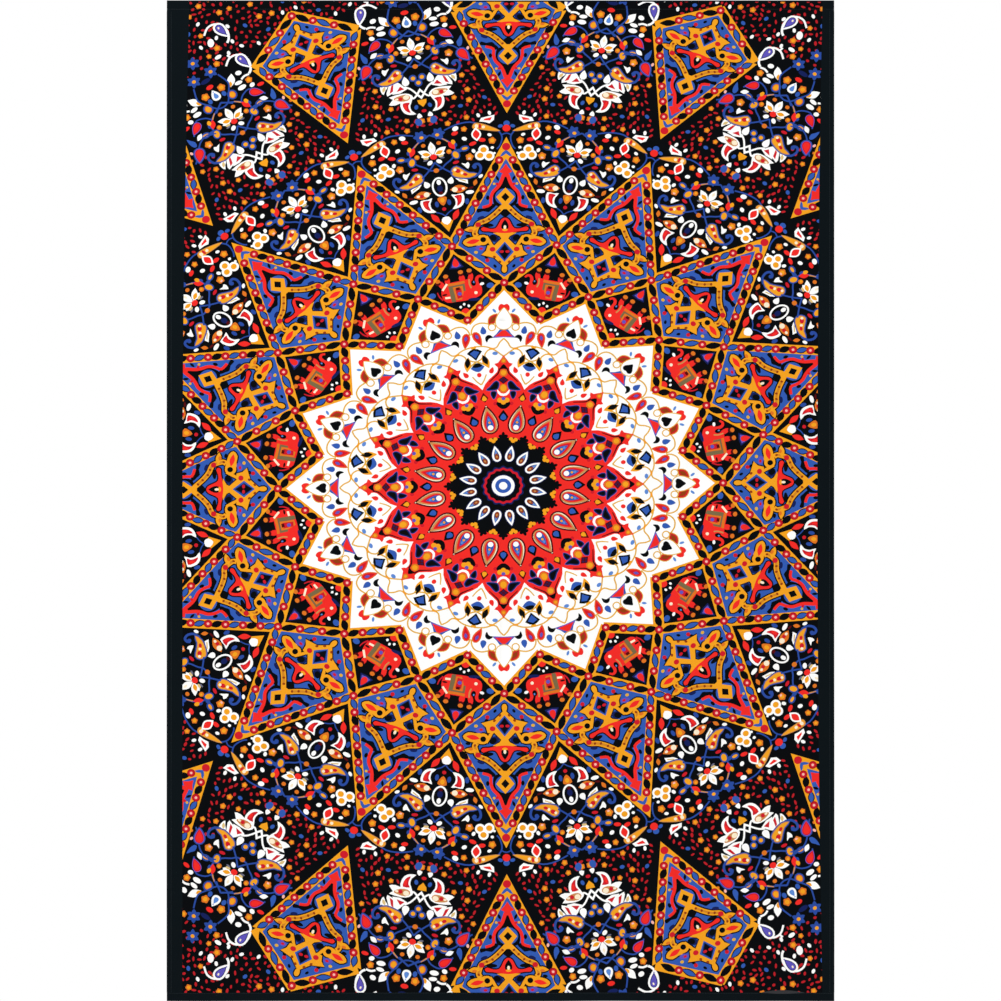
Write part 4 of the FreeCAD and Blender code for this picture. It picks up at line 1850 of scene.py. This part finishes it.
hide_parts("printed_panel", "sleeve_face")
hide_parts("sleeve_fold", "sleeve_back", "sleeve_taper", "sleeve_turning")
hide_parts("left_side_hem")
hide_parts("right_side_hem")
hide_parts("bottom_hem")
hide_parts("care_label")
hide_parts("top_hem_stitching")
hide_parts("left_backtack")
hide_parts("right_backtack")
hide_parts("left_hem_stitching")
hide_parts("right_hem_stitching")
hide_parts("bottom_hem_stitching")
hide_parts("care_label_stitching")

# --- Floor, light and camera --------------------------------------------------------

FLOOR_HALF = 2.4
FLOOR_BELOW = 0.6
FLOOR_CORNERS = [
    (-FLOOR_HALF, -FLOOR_HALF),
    (FLOOR_HALF, -FLOOR_HALF),
    (FLOOR_HALF, FLOOR_HALF),
    (-FLOOR_HALF, FLOOR_HALF),
]
floor_vertices = [(x, y, BOTTOM - FLOOR_BELOW) for x, y in FLOOR_CORNERS]
floor = make_object("floor", floor_vertices, [(0, 1, 2, 3)], floor_material(), FLOOR_CORNERS)


def area_light(name, place, target, size, watts):
    """A soft square lamp turned to a target."""
    data = bpy.data.lights.new(name, "AREA")
    data.size = size
    data.energy = watts
    lamp = bpy.data.objects.new(name, data)
    lamp.location = place
    lamp.rotation_euler = (Vector(target) - Vector(place)).to_track_quat("-Z", "Y").to_euler()
    bpy.context.scene.collection.objects.link(lamp)
    return lamp


cloth_middle = (0.0, FRONT, MIDDLE)
area_light("key", (-3.0, -4.2, MIDDLE + 2.2), cloth_middle, 2.2, 130)
area_light("fill", (3.4, -4.6, MIDDLE + 0.4), cloth_middle, 2.6, 60)
area_light("back", (2.0, 4.0, MIDDLE + 2.4), cloth_middle, 2.4, 120)

# The backdrop is plain white to the camera and dimmer as a light.
BACKDROP_SEEN = 1.0
BACKDROP_AS_LIGHT = 0.58
world = bpy.data.worlds.new("studio")
world.use_nodes = True
bpy.context.scene.world = world
backdrop = world.node_tree.nodes["Background"]
backdrop.inputs["Color"].default_value = (1.0, 1.0, 1.0, 1.0)
rays = world.node_tree.nodes.new("ShaderNodeLightPath")
strength = world.node_tree.nodes.new("ShaderNodeMapRange")
strength.inputs["To Min"].default_value = BACKDROP_AS_LIGHT
strength.inputs["To Max"].default_value = BACKDROP_SEEN
world.node_tree.links.new(rays.outputs["Is Camera Ray"], strength.inputs["Value"])
world.node_tree.links.new(strength.outputs["Result"], backdrop.inputs["Strength"])

LENS = 85.0
SENSOR = 36.0
camera_data = bpy.data.cameras.new("camera")
camera_data.lens = LENS
camera_data.sensor_width = SENSOR
camera = bpy.data.objects.new("camera", camera_data)
camera.location = (0.0, FRONT - LENGTH * LENS / SENSOR, MIDDLE)
camera.rotation_euler = (math.radians(90), 0.0, 0.0)
bpy.context.scene.collection.objects.link(camera)
bpy.context.scene.camera = camera
bpy.context.scene.view_settings.view_transform = "Standard"
